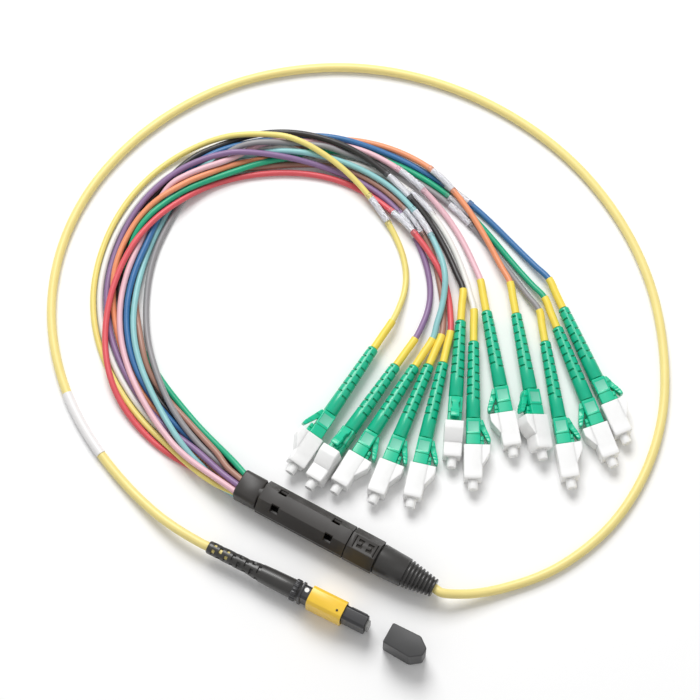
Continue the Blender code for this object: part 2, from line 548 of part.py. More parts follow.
def lc_cap_mesh():
    """Square dust cap with a hood over the latch and a round nub in front, open at the back."""
    half = LC_CAP_SIZE / 2
    front = LC_CAP_REAR + LC_CAP_LENGTH
    hood_width = LC_LATCH_WIDTH / 2 + LC_CAP_FIT + LC_HOOD_WALL
    bm = bmesh.new()
    prism(bm, rounded_outline(LC_CAP_SIZE, LC_CAP_SIZE, LC_CAP_BEVEL), LC_CAP_REAR, front)
    nub = bmesh.new()
    turned(nub, [(front - 0.5 * MM, LC_NUB_RADIUS), (front + LC_NUB_LENGTH, LC_NUB_RADIUS)], 12)
    hood = bmesh.new()
    slope = LC_CAP_REAR + LC_HOOD_LENGTH
    loft(hood, [[(LC_CAP_REAR, y, half - 0.5 * MM), (slope + LC_HOOD_RISE / 2, y, half - 0.5 * MM),
                 (slope, y, half + LC_HOOD_RISE), (LC_CAP_REAR, y, half + LC_HOOD_RISE)]
                for y in (-hood_width, hood_width)])
    outside = combined(mesh_from(bm, "cap_bar"), [mesh_from(nub, "nub"), mesh_from(hood, "hood")],
                       "UNION", "lc_cap_outside")
    bore = LC_BODY_SIZE / 2 + LC_CAP_FIT
    cuts = [block("bore", (LC_CAP_REAR - MM, -bore, -bore),
                  (LC_BODY_START + LC_BODY_LENGTH + LC_CAP_FIT, bore, bore)),
            block("hood_room", (LC_CAP_REAR - MM, -LC_LATCH_WIDTH / 2 - LC_CAP_FIT, 0.0),
                  (slope - LC_HOOD_WALL, LC_LATCH_WIDTH / 2 + LC_CAP_FIT,
                   half + LC_HOOD_RISE - LC_HOOD_WALL))]
    return combined(outside, cuts, "DIFFERENCE", "lc_cap")


def connector_matrix(tail, heading, roll):
    """Places a connector's own frame, whose origin is its boot's tail and whose X points forwards.

    It rests on the lowest edge of its dust cap, whichever way its latch is rolled.
    """
    turn = math.radians(roll)
    half = LC_CAP_SIZE / 2
    corners = [(y, z) for y in (-half, half) for z in (-half, half)]
    hood_width = LC_LATCH_WIDTH / 2 + LC_CAP_FIT + LC_HOOD_WALL
    corners += [(y, half + LC_HOOD_RISE) for y in (-hood_width, hood_width)]
    lowest = min(y * math.sin(turn) + z * math.cos(turn) for y, z in corners)
    place = Vector((tail[0] * MM, tail[1] * MM, -lowest))
    return Matrix.Translation(place) @ Euler((turn, 0, math.radians(heading)), "XYZ").to_matrix().to_4x4()


def bundle_planes():
    """Places and inward directions along the bundle's centre line, and their distances along it."""
    start = (INLET_START / MM - SEAT_GAP / MM, 0.0)
    line = smooth_curve([(x * MM, y * MM, 0.0) for x, y in [start, *SPINE]], LEG_STEP)
    along = np.cumsum([0.0] + [(b - a).length for a, b in zip(line, line[1:])])
    inwards = []
    for i in range(len(line)):
        way = (line[min(i + 1, len(line) - 1)] - line[max(i - 1, 0)]).normalized()
        inwards.append(Vector((way.y, -way.x, 0.0)))
    inwards[0] = Vector((0.0, 1.0, 0.0))
    return line, inwards, along


def settled_lanes(along):
    """The legs' places in each plane, from the lanes, laid side by side so that none cuts another."""
    names = list(LANES)
    stations = np.array(STATIONS) * MM
    places = np.zeros((len(along), len(names), 2))
    for i, at in enumerate(along):
        k = int(np.clip(np.searchsorted(stations, at) - 1, 0, len(stations) - 2))
        share = min(1.0, (at - stations[k]) / (stations[k + 1] - stations[k]))
        ease = share * share * (3 - 2 * share)
        for leg, name in enumerate(names):
            near, far = np.array(LANES[name][k]), np.array(LANES[name][k + 1])
            places[i, leg] = near + (far - near) * (0.5 * ease + 0.5 * share) + 0.001 * leg
    first = places[0].copy()
    first[:, 1] = [(HOUSING_CENTRE_HEIGHT - LEG_DIAMETER / 2) / LEG_PITCH + round(row) - 2
                   for row in first[:, 1]]
    same = np.eye(len(names), dtype=bool)
    for turn in range(SETTLE_ROUNDS):
        left = 1.0 - turn / SETTLE_ROUNDS
        bend = places[:-2] + places[2:] - 2 * places[1:-1]
        places[1:-1] += SETTLE_STIFFNESS * left * bend
        places[:, :, 1] -= SETTLE_WEIGHT * left
        for _ in range(3):
            gap = places[:, :, None, :] - places[:, None, :, :]
            far = np.linalg.norm(gap, axis=-1)
            far[:, same] = 1e9
            push = np.clip(1.0 - far, 0.0, None) / np.maximum(far, 1e-6)
            places += 0.5 * (gap * push[..., None]).sum(axis=2)
            places[:, :, 1] = np.maximum(places[:, :, 1], 0.0)
            places[0] = first
    return {name: places[:, leg] for leg, name in enumerate(names)}


def leg_route(name, line, inwards, lanes, place):
    """A leg's points, from the inlet cap to the tail of its connector's boot."""
    run = []
    for centre, inward, (across, layer) in zip(line, inwards, lanes[name]):
        height = LEG_DIAMETER / 2 + layer * LEG_PITCH
        run.append(centre + inward * (across * LEG_PITCH) + Vector((0, 0, height)))
    tail = place @ Vector((-SEAT_GAP, 0, 0))
    straight = place @ Vector((-STRAIGHT_TAIL / 2, 0, 0))
    bend = place @ Vector((-STRAIGHT_TAIL, 0, 0))
    forwards = (straight - bend).normalized()
    while (bend - run[-1]).dot(forwards) < 2.0 * LEG_STEP:
        run.pop()
    last = smooth_curve([run[-2], run[-1], bend, straight], LEG_STEP)
    onward = [p for p in last[1:] if (p - run[-2]).length > 0.6 * LEG_STEP
              and (bend - p).dot(forwards) > 0.6 * LEG_STEP]
    route = [*run[:-1], *onward, bend, straight, tail]
    for _ in range(SMOOTHING_PASSES):
        route[1:-3] = [(a + 2 * b + c) / 4 for a, b, c in zip(route, route[1:-3], route[2:])]
    return route


def nearest_on_segments(a, b, c, d):
    """Shares along the segments a-b and c-d at which the two come closest, for arrays of segments."""
    u, v, w = b - a, d - c, a - c
    uu, vv, uv = (u * u).sum(1), (v * v).sum(1), (u * v).sum(1)
    uw, vw = (u * w).sum(1), (v * w).sum(1)
    slope = np.maximum(uu * vv - uv * uv, 1e-6 * uu * vv)
    s = np.clip((uv * vw - vv * uw) / slope, 0.0, 1.0)
    t = np.clip((uv * s + vw) / vv, 0.0, 1.0)
    s = np.clip((uv * t - uw) / uu, 0.0, 1.0)
    return s, t


def laid_apart(routes, boots):
    """The routes of the legs, moved until each lies clear of the others, of the boots and of the floor.

    routes maps a leg's name to its points. boots maps it to the two ends of its connector's boot.
    """
    points, starts, ends, owner, radius, free = [], [], [], [], [], []
    for leg, name in enumerate(routes):
        chain, boot = routes[name], boots[name]
        for k, point in enumerate(chain):
            points.append(point)
            free.append(0 < k < len(chain) - 3)
            if k:
                starts.append(len(points) - 2)
                ends.append(len(points) - 1)
                owner.append(leg)
                radius.append(LEG_PITCH / 2)
        for point in boot:
            points.append(point)
            free.append(False)
        starts.append(len(points) - 2)
        ends.append(len(points) - 1)
        owner.append(leg)
        radius.append(LC_BOOT_ROOT_RADIUS + LEG_CLEARANCE)
    points = np.array([tuple(p) for p in points])
    starts, ends, owner = np.array(starts), np.array(ends), np.array(owner)
    radius, free = np.array(radius), np.array(free)
    inner, given = np.flatnonzero(free), points.copy()
    one, two = np.triu_indices(len(starts), 1)
    apart = owner[one] != owner[two]
    one, two = one[apart], two[apart]
    for turn in range(LAY_ROUNDS):
        left = max(0.0, 1.0 - turn / (0.8 * LAY_ROUNDS))
        if turn % 10 == 0:
            middle = (points[starts] + points[ends]) / 2
            near = np.linalg.norm(middle[one] - middle[two], axis=1) < 2.2 * LEG_STEP
            long_one = np.linalg.norm(points[starts] - points[ends], axis=1) > 2 * LEG_STEP
            pairs = near | long_one[one] | long_one[two]
            first, second = one[pairs], two[pairs]
        shift = points - given
        bend = shift[inner - 1] + shift[inner + 1] - 2 * shift[inner]
        points[inner] += LAY_STIFFNESS * left * bend
        points[inner, 2] -= LAY_WEIGHT * left
        a, b, c, d = starts[first], ends[first], starts[second], ends[second]
        s, t = nearest_on_segments(points[a], points[b], points[c], points[d])
        across = (points[a] + (points[b] - points[a]) * s[:, None]
                  - points[c] - (points[d] - points[c]) * t[:, None])
        far = np.linalg.norm(across, axis=1)
        short = radius[first] + radius[second] - far
        hit = short > 0
        way = across[hit] / np.maximum(far[hit], 1e-7)[:, None]
        way[far[hit] < 0.1 * LEG_DIAMETER] = (0, 0, 1)
        step = 0.5 * way * short[hit][:, None]
        moved = np.zeros_like(points)
        for ids, share in ((a[hit], 1 - s[hit]), (b[hit], s[hit])):
            np.add.at(moved, ids, step * share[:, None])
        for ids, share in ((c[hit], 1 - t[hit]), (d[hit], t[hit])):
            np.add.at(moved, ids, -step * share[:, None])
        points[free] += moved[free]
        points[free, 2] = np.maximum(points[free, 2], LEG_DIAMETER / 2)
    laid, at = {}, 0
    for name, chain in routes.items():
        laid[name] = [Vector(p) for p in points[at:at + len(chain)]]
        at += len(chain) + 2
    return laid


def make_trunk(material):
    start = Vector((RELIEF_END + SEAT_GAP, 0.0, HOUSING_CENTRE_HEIGHT))
    lead = start + Vector((TRUNK_LEAD, 0.0, 0.0))
    end = plug_matrix() @ Vector((BOOT_START - SEAT_GAP, 0, 0))
    tail = plug_matrix() @ Vector((BOOT_START - SEAT_GAP - TRUNK_LEAD, 0, 0))
    route = smooth_curve([lead, *(Vector(p) * MM for p in TRUNK_ROUTE), tail], TRUNK_STEP)
    route[1:-1] = [(a + 2 * b + c) / 4 for a, b, c in zip(route, route[1:], route[2:])]
    for point in route:
        point.z = max(point.z, TRUNK_DIAMETER / 2)
    cord("trunk_cable", [start, *route, end], TRUNK_DIAMETER, material)


def leg_routes():
    """Each leg's points and its connector's place, by the leg's name."""
    line, inwards, along = bundle_planes()
    lanes = settled_lanes(along)
    places = {name: connector_matrix(*connector) for name, (_, *connector) in LEGS.items()}
    routes = {name: leg_route(name, line, inwards, lanes, place) for name, place in places.items()}
    boots = {name: [place @ Vector((0, 0, 0)), place @ Vector((LC_BOOT_LENGTH, 0, 0))]
             for name, place in places.items()}
    return laid_apart(routes, boots), places


def make_legs_and_connectors():
    routes, places = leg_routes()
    green = plastic("connector_green", (0.02, 0.50, 0.32), 0.4)
    white = plastic("cap_white", (0.88, 0.88, 0.86), 0.5)
    meshes = {"lc_boot": lc_boot_mesh(), "lc_body": lc_body_mesh(), "lc_cap": lc_cap_mesh()}
    for number, (name, route) in enumerate(routes.items(), start=1):
        cord("leg_" + name, route, LEG_DIAMETER, plastic("jacket_" + name, LEGS[name][0], 0.4))
        for kind, mesh in meshes.items():
            add_object(f"{kind}_{number:02d}", mesh, white if kind == "lc_cap" else green, places[name])


def main():
    clear_scene()
    black = plastic("housing_black", (0.03, 0.03, 0.03), 0.5)
    make_shells(black)
    make_collar(black)
    make_inlet(black)
    make_strain_relief(plastic("boot_black", (0.025, 0.025, 0.025), 0.55))
    make_plug(plastic("plug_black", (0.03, 0.03, 0.03), 0.4), plastic("coupling_yellow", (0.90, 0.50, 0.03), 0.4),
              plastic("ferrule_grey", (0.45, 0.45, 0.43), 0.4))
    make_plug_dust_cap(plastic("cap_black", (0.04, 0.04, 0.04), 0.5))
    make_trunk(plastic("jacket_trunk", (0.86, 0.70, 0.20), 0.4))
    make_legs_and_connectors()


main()
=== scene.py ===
"""Fibre breakout cable, dressed: its cords, breakout housing, multi-fibre plug and connectors.

Lengths are in metres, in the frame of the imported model: +X runs along the breakout housing
towards the trunk cord, +Z is up, and the cable lies on the floor at z = 0.
"""

import json
import logging
import math
from dataclasses import dataclass, field
from enum import Enum
from typing import Callable, ClassVar, Sequence

import bmesh
import bpy
import numpy as np
from bmesh.types import BMesh, BMFace
from bpy.types import ID, Curve, Material, Mesh, Node, NodeTree, Object
from mathutils import Matrix, Vector


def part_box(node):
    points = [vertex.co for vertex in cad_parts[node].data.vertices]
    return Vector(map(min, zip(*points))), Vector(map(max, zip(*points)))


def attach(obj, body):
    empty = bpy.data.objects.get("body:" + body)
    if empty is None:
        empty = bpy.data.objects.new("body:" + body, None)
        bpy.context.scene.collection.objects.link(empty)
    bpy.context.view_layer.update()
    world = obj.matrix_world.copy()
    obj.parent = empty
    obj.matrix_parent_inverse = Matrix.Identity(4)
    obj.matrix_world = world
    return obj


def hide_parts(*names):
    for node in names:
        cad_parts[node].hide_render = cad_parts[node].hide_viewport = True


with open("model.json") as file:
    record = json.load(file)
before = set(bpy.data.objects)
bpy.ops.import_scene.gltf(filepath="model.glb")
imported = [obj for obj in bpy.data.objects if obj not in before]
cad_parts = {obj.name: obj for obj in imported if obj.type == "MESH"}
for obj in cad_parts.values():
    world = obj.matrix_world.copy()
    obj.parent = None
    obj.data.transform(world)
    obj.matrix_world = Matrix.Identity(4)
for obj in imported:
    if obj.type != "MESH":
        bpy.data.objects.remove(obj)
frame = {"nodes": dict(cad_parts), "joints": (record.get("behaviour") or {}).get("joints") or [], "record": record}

Pair = tuple[float, float]
Triple = tuple[float, float, float]

MM = 0.001
UP = Vector((0.0, 0.0, 1.0))
SEAT_GAP = 0.3 * MM
STEP = 0.02 * MM
END_ROUNDING = 0.2 * MM
SHARP_ANGLE = math.radians(35.0)
ROUNDED_ANGLE = math.radians(25.0)
SHINE_SPREAD = 0.07
RELIEF_STRENGTH = 0.6
SKIN_ROUGHNESS = 0.2
BODY_OF_CABLE = "cable"
BODY_OF_COUPLING = "coupling"
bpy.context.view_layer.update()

logging.basicConfig(level=logging.INFO, format="%(message)s")
log = logging.getLogger("breakout_cable")


# Finishes


@dataclass(frozen=True)
class Finish:
    """A surface: its colour, its shine, and the fine relief that the moulding or extrusion left.

    Attributes:
        name: The material's name.
        colour: Linear red, green and blue.
        roughness: Mean roughness of the surface.
        grain: Size of the fine relief.
        relief: Depth of the fine relief.
        shade: How much darker the darkest patches are.
        patch: Size of the patches.
        coat: Strength of the clear skin that a glossy moulding has.
        glow: How far light spreads under the surface.
        clear: How far the material lets light through.
        bending: How strongly it bends light.
    """

    name: str
    colour: Triple
    roughness: float = 0.4
    grain: float = 0.35 * MM
    relief: float = 0.012 * MM
    shade: float = 0.12
    patch: float = 3.0 * MM
    coat: float = 0.0
    glow: float = 0.0
    clear: float = 0.0
    bending: float = 1.49

    def material(self) -> Material:
        """Makes the finish's material, or finds it if it is made.

        Returns:
            The node material.
        """
        title = "dressed_" + self.name
        made = bpy.data.materials.get(title)
        if made is not None:
            return made
        made = bpy.data.materials.new(title)
        made.use_nodes = True
        tree = made.node_tree
        shader = tree.nodes["Principled BSDF"]
        place = tree.nodes.new("ShaderNodeTexCoord")
        patches = self._noise(tree, place, self.patch, 3.0)
        colours = tree.nodes.new("ShaderNodeMix")
        colours.data_type = "RGBA"
        dark = tuple(channel * (1.0 - self.shade) for channel in self.colour)
        colours.inputs["A"].default_value = (*dark, 1.0)
        colours.inputs["B"].default_value = (*self.colour, 1.0)
        tree.links.new(patches.outputs["Fac"], colours.inputs["Factor"])
        tree.links.new(colours.outputs["Result"], shader.inputs["Base Color"])
        grain = self._noise(tree, place, self.grain, 2.0)
        shine = tree.nodes.new("ShaderNodeMapRange")
        shine.inputs["To Min"].default_value = max(0.05, self.roughness - SHINE_SPREAD)
        shine.inputs["To Max"].default_value = min(1.0, self.roughness + SHINE_SPREAD)
        tree.links.new(grain.outputs["Fac"], shine.inputs["Value"])
        tree.links.new(shine.outputs["Result"], shader.inputs["Roughness"])
        bump = tree.nodes.new("ShaderNodeBump")
        bump.inputs["Strength"].default_value = RELIEF_STRENGTH
        bump.inputs["Distance"].default_value = self.relief
        tree.links.new(grain.outputs["Fac"], bump.inputs["Height"])
        tree.links.new(bump.outputs["Normal"], shader.inputs["Normal"])
        for socket, value in (
            ("IOR", self.bending),
            ("Coat Weight", self.coat),
            ("Coat Roughness", SKIN_ROUGHNESS),
            ("Subsurface Weight", self.glow),
            ("Subsurface Radius", (1.0, 1.0, 1.0)),
            ("Subsurface Scale", 1.0 * MM),
            ("Transmission Weight", self.clear),
        ):
            shader.inputs[socket].default_value = value
        return made

    @staticmethod
    def _noise(tree: NodeTree, place: Node, size: float, detail: float) -> Node:
        """Adds a noise of a real size.

        Args:
            tree: The material's nodes.
            place: The texture coordinates.
            size: Size of one patch.
            detail: Number of finer layers.

        Returns:
            The noise node.
        """
        noise = tree.nodes.new("ShaderNodeTexNoise")
        noise.inputs["Scale"].default_value = 1.0 / size
        noise.inputs["Detail"].default_value = detail
        tree.links.new(place.outputs["Object"], noise.inputs["Vector"])
        return noise


def jacket(name: str, colour: Triple) -> Finish:
    """The satin skin of an extruded cord."""
    return Finish("jacket_" + name, colour, 0.38, 0.5 * MM, 0.01 * MM, 0.1, 6 * MM, glow=0.08)


HOUSING_BLACK = Finish("housing_black", (0.038, 0.034, 0.031), 0.42, 0.22 * MM, 0.016 * MM, 0.2)
BOOT_BLACK = Finish("boot_black", (0.044, 0.042, 0.040), 0.34, 0.3 * MM, 0.012 * MM, 0.2, coat=0.2)
PLUG_BLACK = Finish("plug_black", (0.04, 0.04, 0.043), 0.34, 0.25 * MM, 0.01 * MM, 0.15, coat=0.15)
CAP_BLACK = Finish("cap_black", (0.061, 0.061, 0.062), 0.5, 0.25 * MM, 0.016 * MM, 0.15)
COUPLING_YELLOW = Finish(
    "coupling_yellow", (0.97, 0.62, 0.056), 0.34, 0.4 * MM, 0.008 * MM, 0.08, coat=0.15, glow=0.1
)
CRIMP_YELLOW = Finish("crimp_yellow", (0.94, 0.73, 0.092), 0.4, 0.3 * MM, 0.01 * MM, 0.12)
FERRULE_GREY = Finish("ferrule_grey", (0.30, 0.30, 0.29), 0.35, 0.12 * MM, 0.006 * MM, 0.2)
FIBRE_GLASS = Finish("fibre_glass", (0.75, 0.82, 0.85), 0.12, shade=0.05)
CONNECTOR_GREEN = Finish(
    "connector_green", (0.002, 0.58, 0.325), 0.3, 0.3 * MM, 0.008 * MM, 0.16, coat=0.25, glow=0.1
)
BOOT_GREEN = Finish(
    "connector_boot_green", (0.002, 0.52, 0.290), 0.3, 0.3 * MM, 0.01 * MM, 0.2, coat=0.25,
    glow=0.08,
)
PAD_GREEN = Finish("connector_pad_green", (0.17, 0.62, 0.44), 0.5, shade=0.12, patch=1.2 * MM)
CAP_WHITE = Finish(
    "cap_white", (0.94, 0.94, 0.93), 0.4, 0.4 * MM, 0.008 * MM, 0.03, glow=0.35, coat=0.1
)
PAPER_WHITE = Finish("label_paper", (0.82, 0.82, 0.85), 0.55, 0.2 * MM, 0.002 * MM, 0.05, coat=0.2)
WRAP_WHITE = Finish("label_wrap", (0.86, 0.845, 0.84), 0.4, 0.3 * MM, 0.003 * MM, 0.05, coat=0.25)
CLEAR_SLEEVE = Finish(
    "label_clear", (0.95, 0.95, 0.97), 0.2, 1.2 * MM, 0.001 * MM, shade=0.02, clear=0.92,
    bending=1.12,
)
MARK_WHITE = Finish("mark_white", (0.9, 0.9, 0.88), 0.4, shade=0.03)
# Near-black: the coupling sleeve's own dark dot, and painted shade on the floors of the collar's pockets.
DARK_MARK_AND_PAINTED_SHADE = Finish("dark_mark_and_painted_shade", (0.02, 0.015, 0.01), 0.6, shade=0.1)


class Leg(Enum):
    """The twelve legs in their connectors' order, with each jacket's colour."""

    YELLOW = ("yellow", (0.88, 0.74, 0.22))
    VIOLET = ("violet", (0.275, 0.165, 0.33))
    AQUA = ("aqua", (0.285, 0.585, 0.60))
    BROWN = ("brown", (0.42, 0.225, 0.17))
    RED = ("red", (0.77, 0.104, 0.124))
    BLACK = ("black", (0.035, 0.032, 0.032))
    WHITE = ("white", (0.84, 0.83, 0.79))
    ROSE = ("rose", (0.83, 0.51, 0.57))
    ORANGE = ("orange", (0.86, 0.315, 0.148))
    SLATE = ("slate", (0.30, 0.29, 0.30))
    GREEN = ("green", (0.012, 0.41, 0.215))
    BLUE = ("blue", (0.042, 0.172, 0.40))

    @property
    def colour_name(self) -> str:
        """The colour's name."""
        return self.value[0]

    @property
    def finish(self) -> Finish:
        """The jacket's finish."""
        return jacket(*self.value)

    @property
    def number(self) -> int:
        """The number of the leg's connector."""
        return list(Leg).index(self) + 1


# Shared mesh work


def placed(name: str, data: ID) -> Object:
    """Makes an object and puts it into the scene.

    Args:
        name: The object's name.
        data: Its mesh, curve, camera or light.

    Returns:
        The object.
    """
    obj = bpy.data.objects.new(name, data)
    bpy.context.scene.collection.objects.link(obj)
    return obj


def axes_matrix(origin: Vector, forwards: Vector, side: Vector, up: Vector) -> Matrix:
    """The frame at a point with these axes."""
    return Matrix.Translation(origin) @ Matrix((forwards, side, up)).transposed().to_4x4()


def closed_mesh(name: str, rings: Sequence[Sequence[Vector]]) -> Mesh:
    """Skins rings of points into one closed body.

    Args:
        name: The mesh's name.
        rings: Rings of equally many points.

    Returns:
        The mesh.
    """
    bm = bmesh.new()
    add_shell(bm, rings)
    return finished_mesh(name, bm)


def barrel(
    name: str, stations: Sequence[float], radius: Callable[[float, float], float], sides: int = 32
) -> Mesh:
    """A body about X whose radius depends on the place along it and on the angle.

    Args:
        name: The mesh's name.
        stations: Places along X.
        radius: Gives the radius at a place and an angle from +Y.
        sides: Points in each ring.

    Returns:
        The mesh.
    """
    angles = [math.tau * i / sides for i in range(sides)]
    rings = [
        [Vector((x, radius(x, a) * math.cos(a), radius(x, a) * math.sin(a))) for a in angles]
        for x in stations
    ]
    return closed_mesh(name, rings)


def square_ring(
    x: float, half_width: float, low: float, high: float, corner: float
) -> list[Vector]:
    """A rectangle across X with rounded corners.

    Args:
        x: Where it stands.
        half_width: Half its width along Y.
        low: Its lowest Z.
        high: Its highest Z.
        corner: Radius of its corners.

    Returns:
        Its points, four for each corner.
    """
    ring = []
    for side, level, first in ((1, high, 0.0), (-1, high, 0.5), (-1, low, 1.0), (1, low, 1.5)):
        inward = -1 if level == high else 1
        for step in range(4):
            angle = math.pi * (first + step / 6)
            ring.append(Vector((
                x,
                side * (half_width - corner) + corner * math.cos(angle),
                level + inward * corner + corner * math.sin(angle),
            )))
    return ring


def add_shell(bm: BMesh, rings: Sequence[Sequence[Vector]]) -> list[list[BMFace]]:
    """Adds one closed body to a mesh that is being built.

    Args:
        bm: The mesh.
        rings: Rings of equally many points.

    Returns:
        The faces between each ring and the next.
    """
    made = [[bm.verts.new(point) for point in ring] for ring in rings]
    bands = []
    for near, far in zip(made, made[1:]):
        band = []
        for i in range(len(near)):
            j = (i + 1) % len(near)
            band.append(bm.faces.new((near[i], near[j], far[j], far[i])))
        bands.append(band)
    bm.faces.new(made[0])
    bm.faces.new(made[-1])
    return bands


def finished_mesh(name: str, bm: BMesh) -> Mesh:
    """Closes off a mesh that was built from shells.

    Args:
        name: The mesh's name.
        bm: The mesh that was built.

    Returns:
        The mesh.
    """
    bmesh.ops.recalc_face_normals(bm, faces=bm.faces)
    mesh = bpy.data.meshes.new(name)
    bm.to_mesh(mesh)
    bm.free()
    mesh.shade_smooth()
    mesh.set_sharp_from_angle(angle=SHARP_ANGLE)
    return mesh


def box_mesh(name: str, low: Sequence[float], high: Sequence[float]) -> Mesh:
    """Makes a block between two corners.

    Args:
        name: The mesh's name.
        low: Its lowest corner.
        high: Its highest corner.

    Returns:
        The mesh.
    """
    across = ((low[1], low[2]), (high[1], low[2]), (high[1], high[2]), (low[1], high[2]))
    ends = (low[0], high[0])
    return closed_mesh(name, [[Vector((x, *corner)) for corner in across] for x in ends])


def carved(mesh: Mesh, cutters: Sequence[Mesh]) -> Mesh:
    """Takes the cutters out of a mesh.

    Args:
        mesh: The mesh to carve.
        cutters: Closed meshes.

    Returns:
        The carved mesh, a new one.
    """
    work = placed("work", mesh)
    helpers = [placed("cutter", cutter) for cutter in cutters]
    for helper in helpers:
        modifier = work.modifiers.new("cut", "BOOLEAN")
        modifier.operation = "DIFFERENCE"
        modifier.solver = "EXACT"
        modifier.object = helper
    bpy.context.view_layer.update()
    graph = bpy.context.evaluated_depsgraph_get()
    made = bpy.data.meshes.new_from_object(work.evaluated_get(graph))
    made.name = mesh.name + "_carved"
    for obj in [work, *helpers]:
        bpy.data.objects.remove(obj, do_unlink=True)
    return made


def moulded_copy(node: str) -> Mesh:
    """A clean copy of a CAD node's mesh, with its flat faces whole again.

    Args:
        node: The CAD node.

    Returns:
        The mesh.
    """
    mesh = frame["nodes"][node].data.copy()
    mesh.name = node + "_copy"
    mesh.materials.clear()
    bm = bmesh.new()
    bm.from_mesh(mesh)
    bmesh.ops.remove_doubles(bm, verts=bm.verts, dist=0.002 * MM)
    bmesh.ops.dissolve_limit(bm, angle_limit=math.radians(1.0), verts=bm.verts, edges=bm.edges)
    bmesh.ops.recalc_face_normals(bm, faces=bm.faces)
    bm.to_mesh(mesh)
    bm.free()
    return mesh


def add_piece(
    name: str,
    data: ID,
    finish: Finish,
    body: str = BODY_OF_CABLE,
    place: Matrix | None = None,
    stands_for: str | None = None,
) -> Object:
    """Adds a piece of the cable to the scene.

    Args:
        name: The piece's name.
        data: Its mesh or curve.
        finish: Its surface.
        body: The body that it rides on.
        place: Where it lies.
        stands_for: The CAD node that it replaces.

    Returns:
        The object.
    """
    obj = placed(name, data)
    if not data.materials:
        data.materials.append(finish.material())
    if place is not None:
        obj.matrix_world = place
    bpy.context.view_layer.update()
    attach(obj, body)
    if stands_for:
        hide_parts(stands_for)
    return obj


def round_edges(obj: Object, width: float, segments: int = 3) -> None:
    """Rounds the edges of a moulding.

    Args:
        obj: The piece.
        width: Width of the rounding.
        segments: Steps in it.
    """
    obj.data.shade_smooth()
    modifier = obj.modifiers.new("moulded_edges", "BEVEL")
    modifier.width = width
    modifier.segments = segments
    modifier.limit_method = "ANGLE"
    modifier.angle_limit = ROUNDED_ANGLE
    modifier.use_clamp_overlap = True
    modifier.harden_normals = True


def moulded(
    name: str, node: str, finish: Finish, width: float, body: str = BODY_OF_CABLE
) -> Object:
    """A copy of a CAD node with rounded edges, in the node's place.

    Args:
        name: The piece's name.
        node: The node that it stands for.
        finish: Its surface.
        width: Width of its rounded edges.
        body: The body that it rides on.

    Returns:
        The object.
    """
    obj = add_piece(name, moulded_copy(node), finish, body, stands_for=node)
    round_edges(obj, width)
    return obj


# Cords


@dataclass
class CentreLine:
    """The middle line of a cord, from its exit to its far end.

    Attributes:
        points: Its points.
        ring_reach: Corners of one ring are closer than this, in diameters.
    """

    points: list[Vector]
    ring_reach: ClassVar[float] = 0.48

    @classmethod
    def of_tube(cls, node: str, diameter: float, start: Vector) -> "CentreLine":
        """Reads the middle line of a plain CAD tube from the rings of corners of its mesh.

        Args:
            node: The tube's node.
            diameter: The tube's diameter.
            start: The end at which the line begins.

        Returns:
            The line.
        """
        raw = np.array([tuple(v.co) for v in frame["nodes"][node].data.vertices])
        corners = np.unique(np.round(raw, 6), axis=0)
        apart = np.linalg.norm(corners[:, None] - corners[None], axis=2)
        near = apart < cls.ring_reach * diameter
        left = set(range(len(corners)))
        middles = []
        while left:
            ring, edge = set(), {min(left)}
            while edge:
                ring |= edge
                edge = set(np.flatnonzero(near[list(edge)].any(axis=0))) - ring
            left -= ring
            middles.append(Vector(corners[list(ring)].mean(axis=0)))
        at, line = start, []
        while middles:
            at = min(middles, key=lambda p: (p - at).length)
            middles.remove(at)
            line.append(at)
        return cls(line)

    def rounded(self, steps: int = 5) -> "CentreLine":
        """A smooth curve through the same points.

        Args:
            steps: Points that each stretch is split into.

        Returns:
            The finer line.
        """
        given = self.points
        padded = [2 * given[0] - given[1], *given, 2 * given[-1] - given[-2]]
        made = []
        for a, b, c, d in zip(padded, padded[1:], padded[2:], padded[3:]):
            for i in range(steps):
                t = i / steps
                made.append(0.5 * (2 * b + (c - a) * t + (2 * a - 5 * b + 4 * c - d) * t ** 2
                                   + (3 * b - a - 3 * c + d) * t ** 3))
        made.append(given[-1])
        return CentreLine(made)

    def reaching(self, extra: float) -> "CentreLine":
        """Pushes both ends of the line into the pieces that hold them.

        Args:
            extra: How far each end is pushed.

        Returns:
            The longer line.
        """
        first = (self.points[0] - self.points[1]).normalized() * extra
        last = (self.points[-1] - self.points[-2]).normalized() * extra
        return CentreLine([self.points[0] + first, *self.points[1:-1], self.points[-1] + last])

    def lifted(self, rise: float) -> "CentreLine":
        """The same line, raised."""
        return CentreLine([point + UP * rise for point in self.points])

    @property
    def length(self) -> float:
        """Length along the line."""
        return sum((b - a).length for a, b in zip(self.points, self.points[1:]))

    def stretch(self, near: float, far: float) -> "CentreLine":
        """The part of the line between two distances from its start.

        Args:
            near: Distance at which the part starts.
            far: Distance at which it ends.

        Returns:
            That part.
        """
        run, made = 0.0, []
        for a, b in zip(self.points, self.points[1:]):
            step = (b - a).length
            for at in (near, far):
                if run <= at < run + step:
                    made.append(a.lerp(b, (at - run) / step))
            run += step
            if near < run < far:
                made.append(b.copy())
        return CentreLine(made)

    def tube(self, name: str, radius: float, smoothness: int = 4) -> Curve:
        """A round curve along the line.

        Args:
            name: The curve's name.
            radius: Its radius.
            smoothness: Steps in a quarter of its section.

        Returns:
            The curve.
        """
        data = bpy.data.curves.new(name, "CURVE")
        data.dimensions = "3D"
        data.bevel_depth = radius
        data.bevel_resolution = smoothness
        data.use_fill_caps = True
        spline = data.splines.new("POLY")
        spline.points.add(len(self.points) - 1)
        for place, point in zip(spline.points, self.points):
            place.co = (*point, 1.0)
        return data


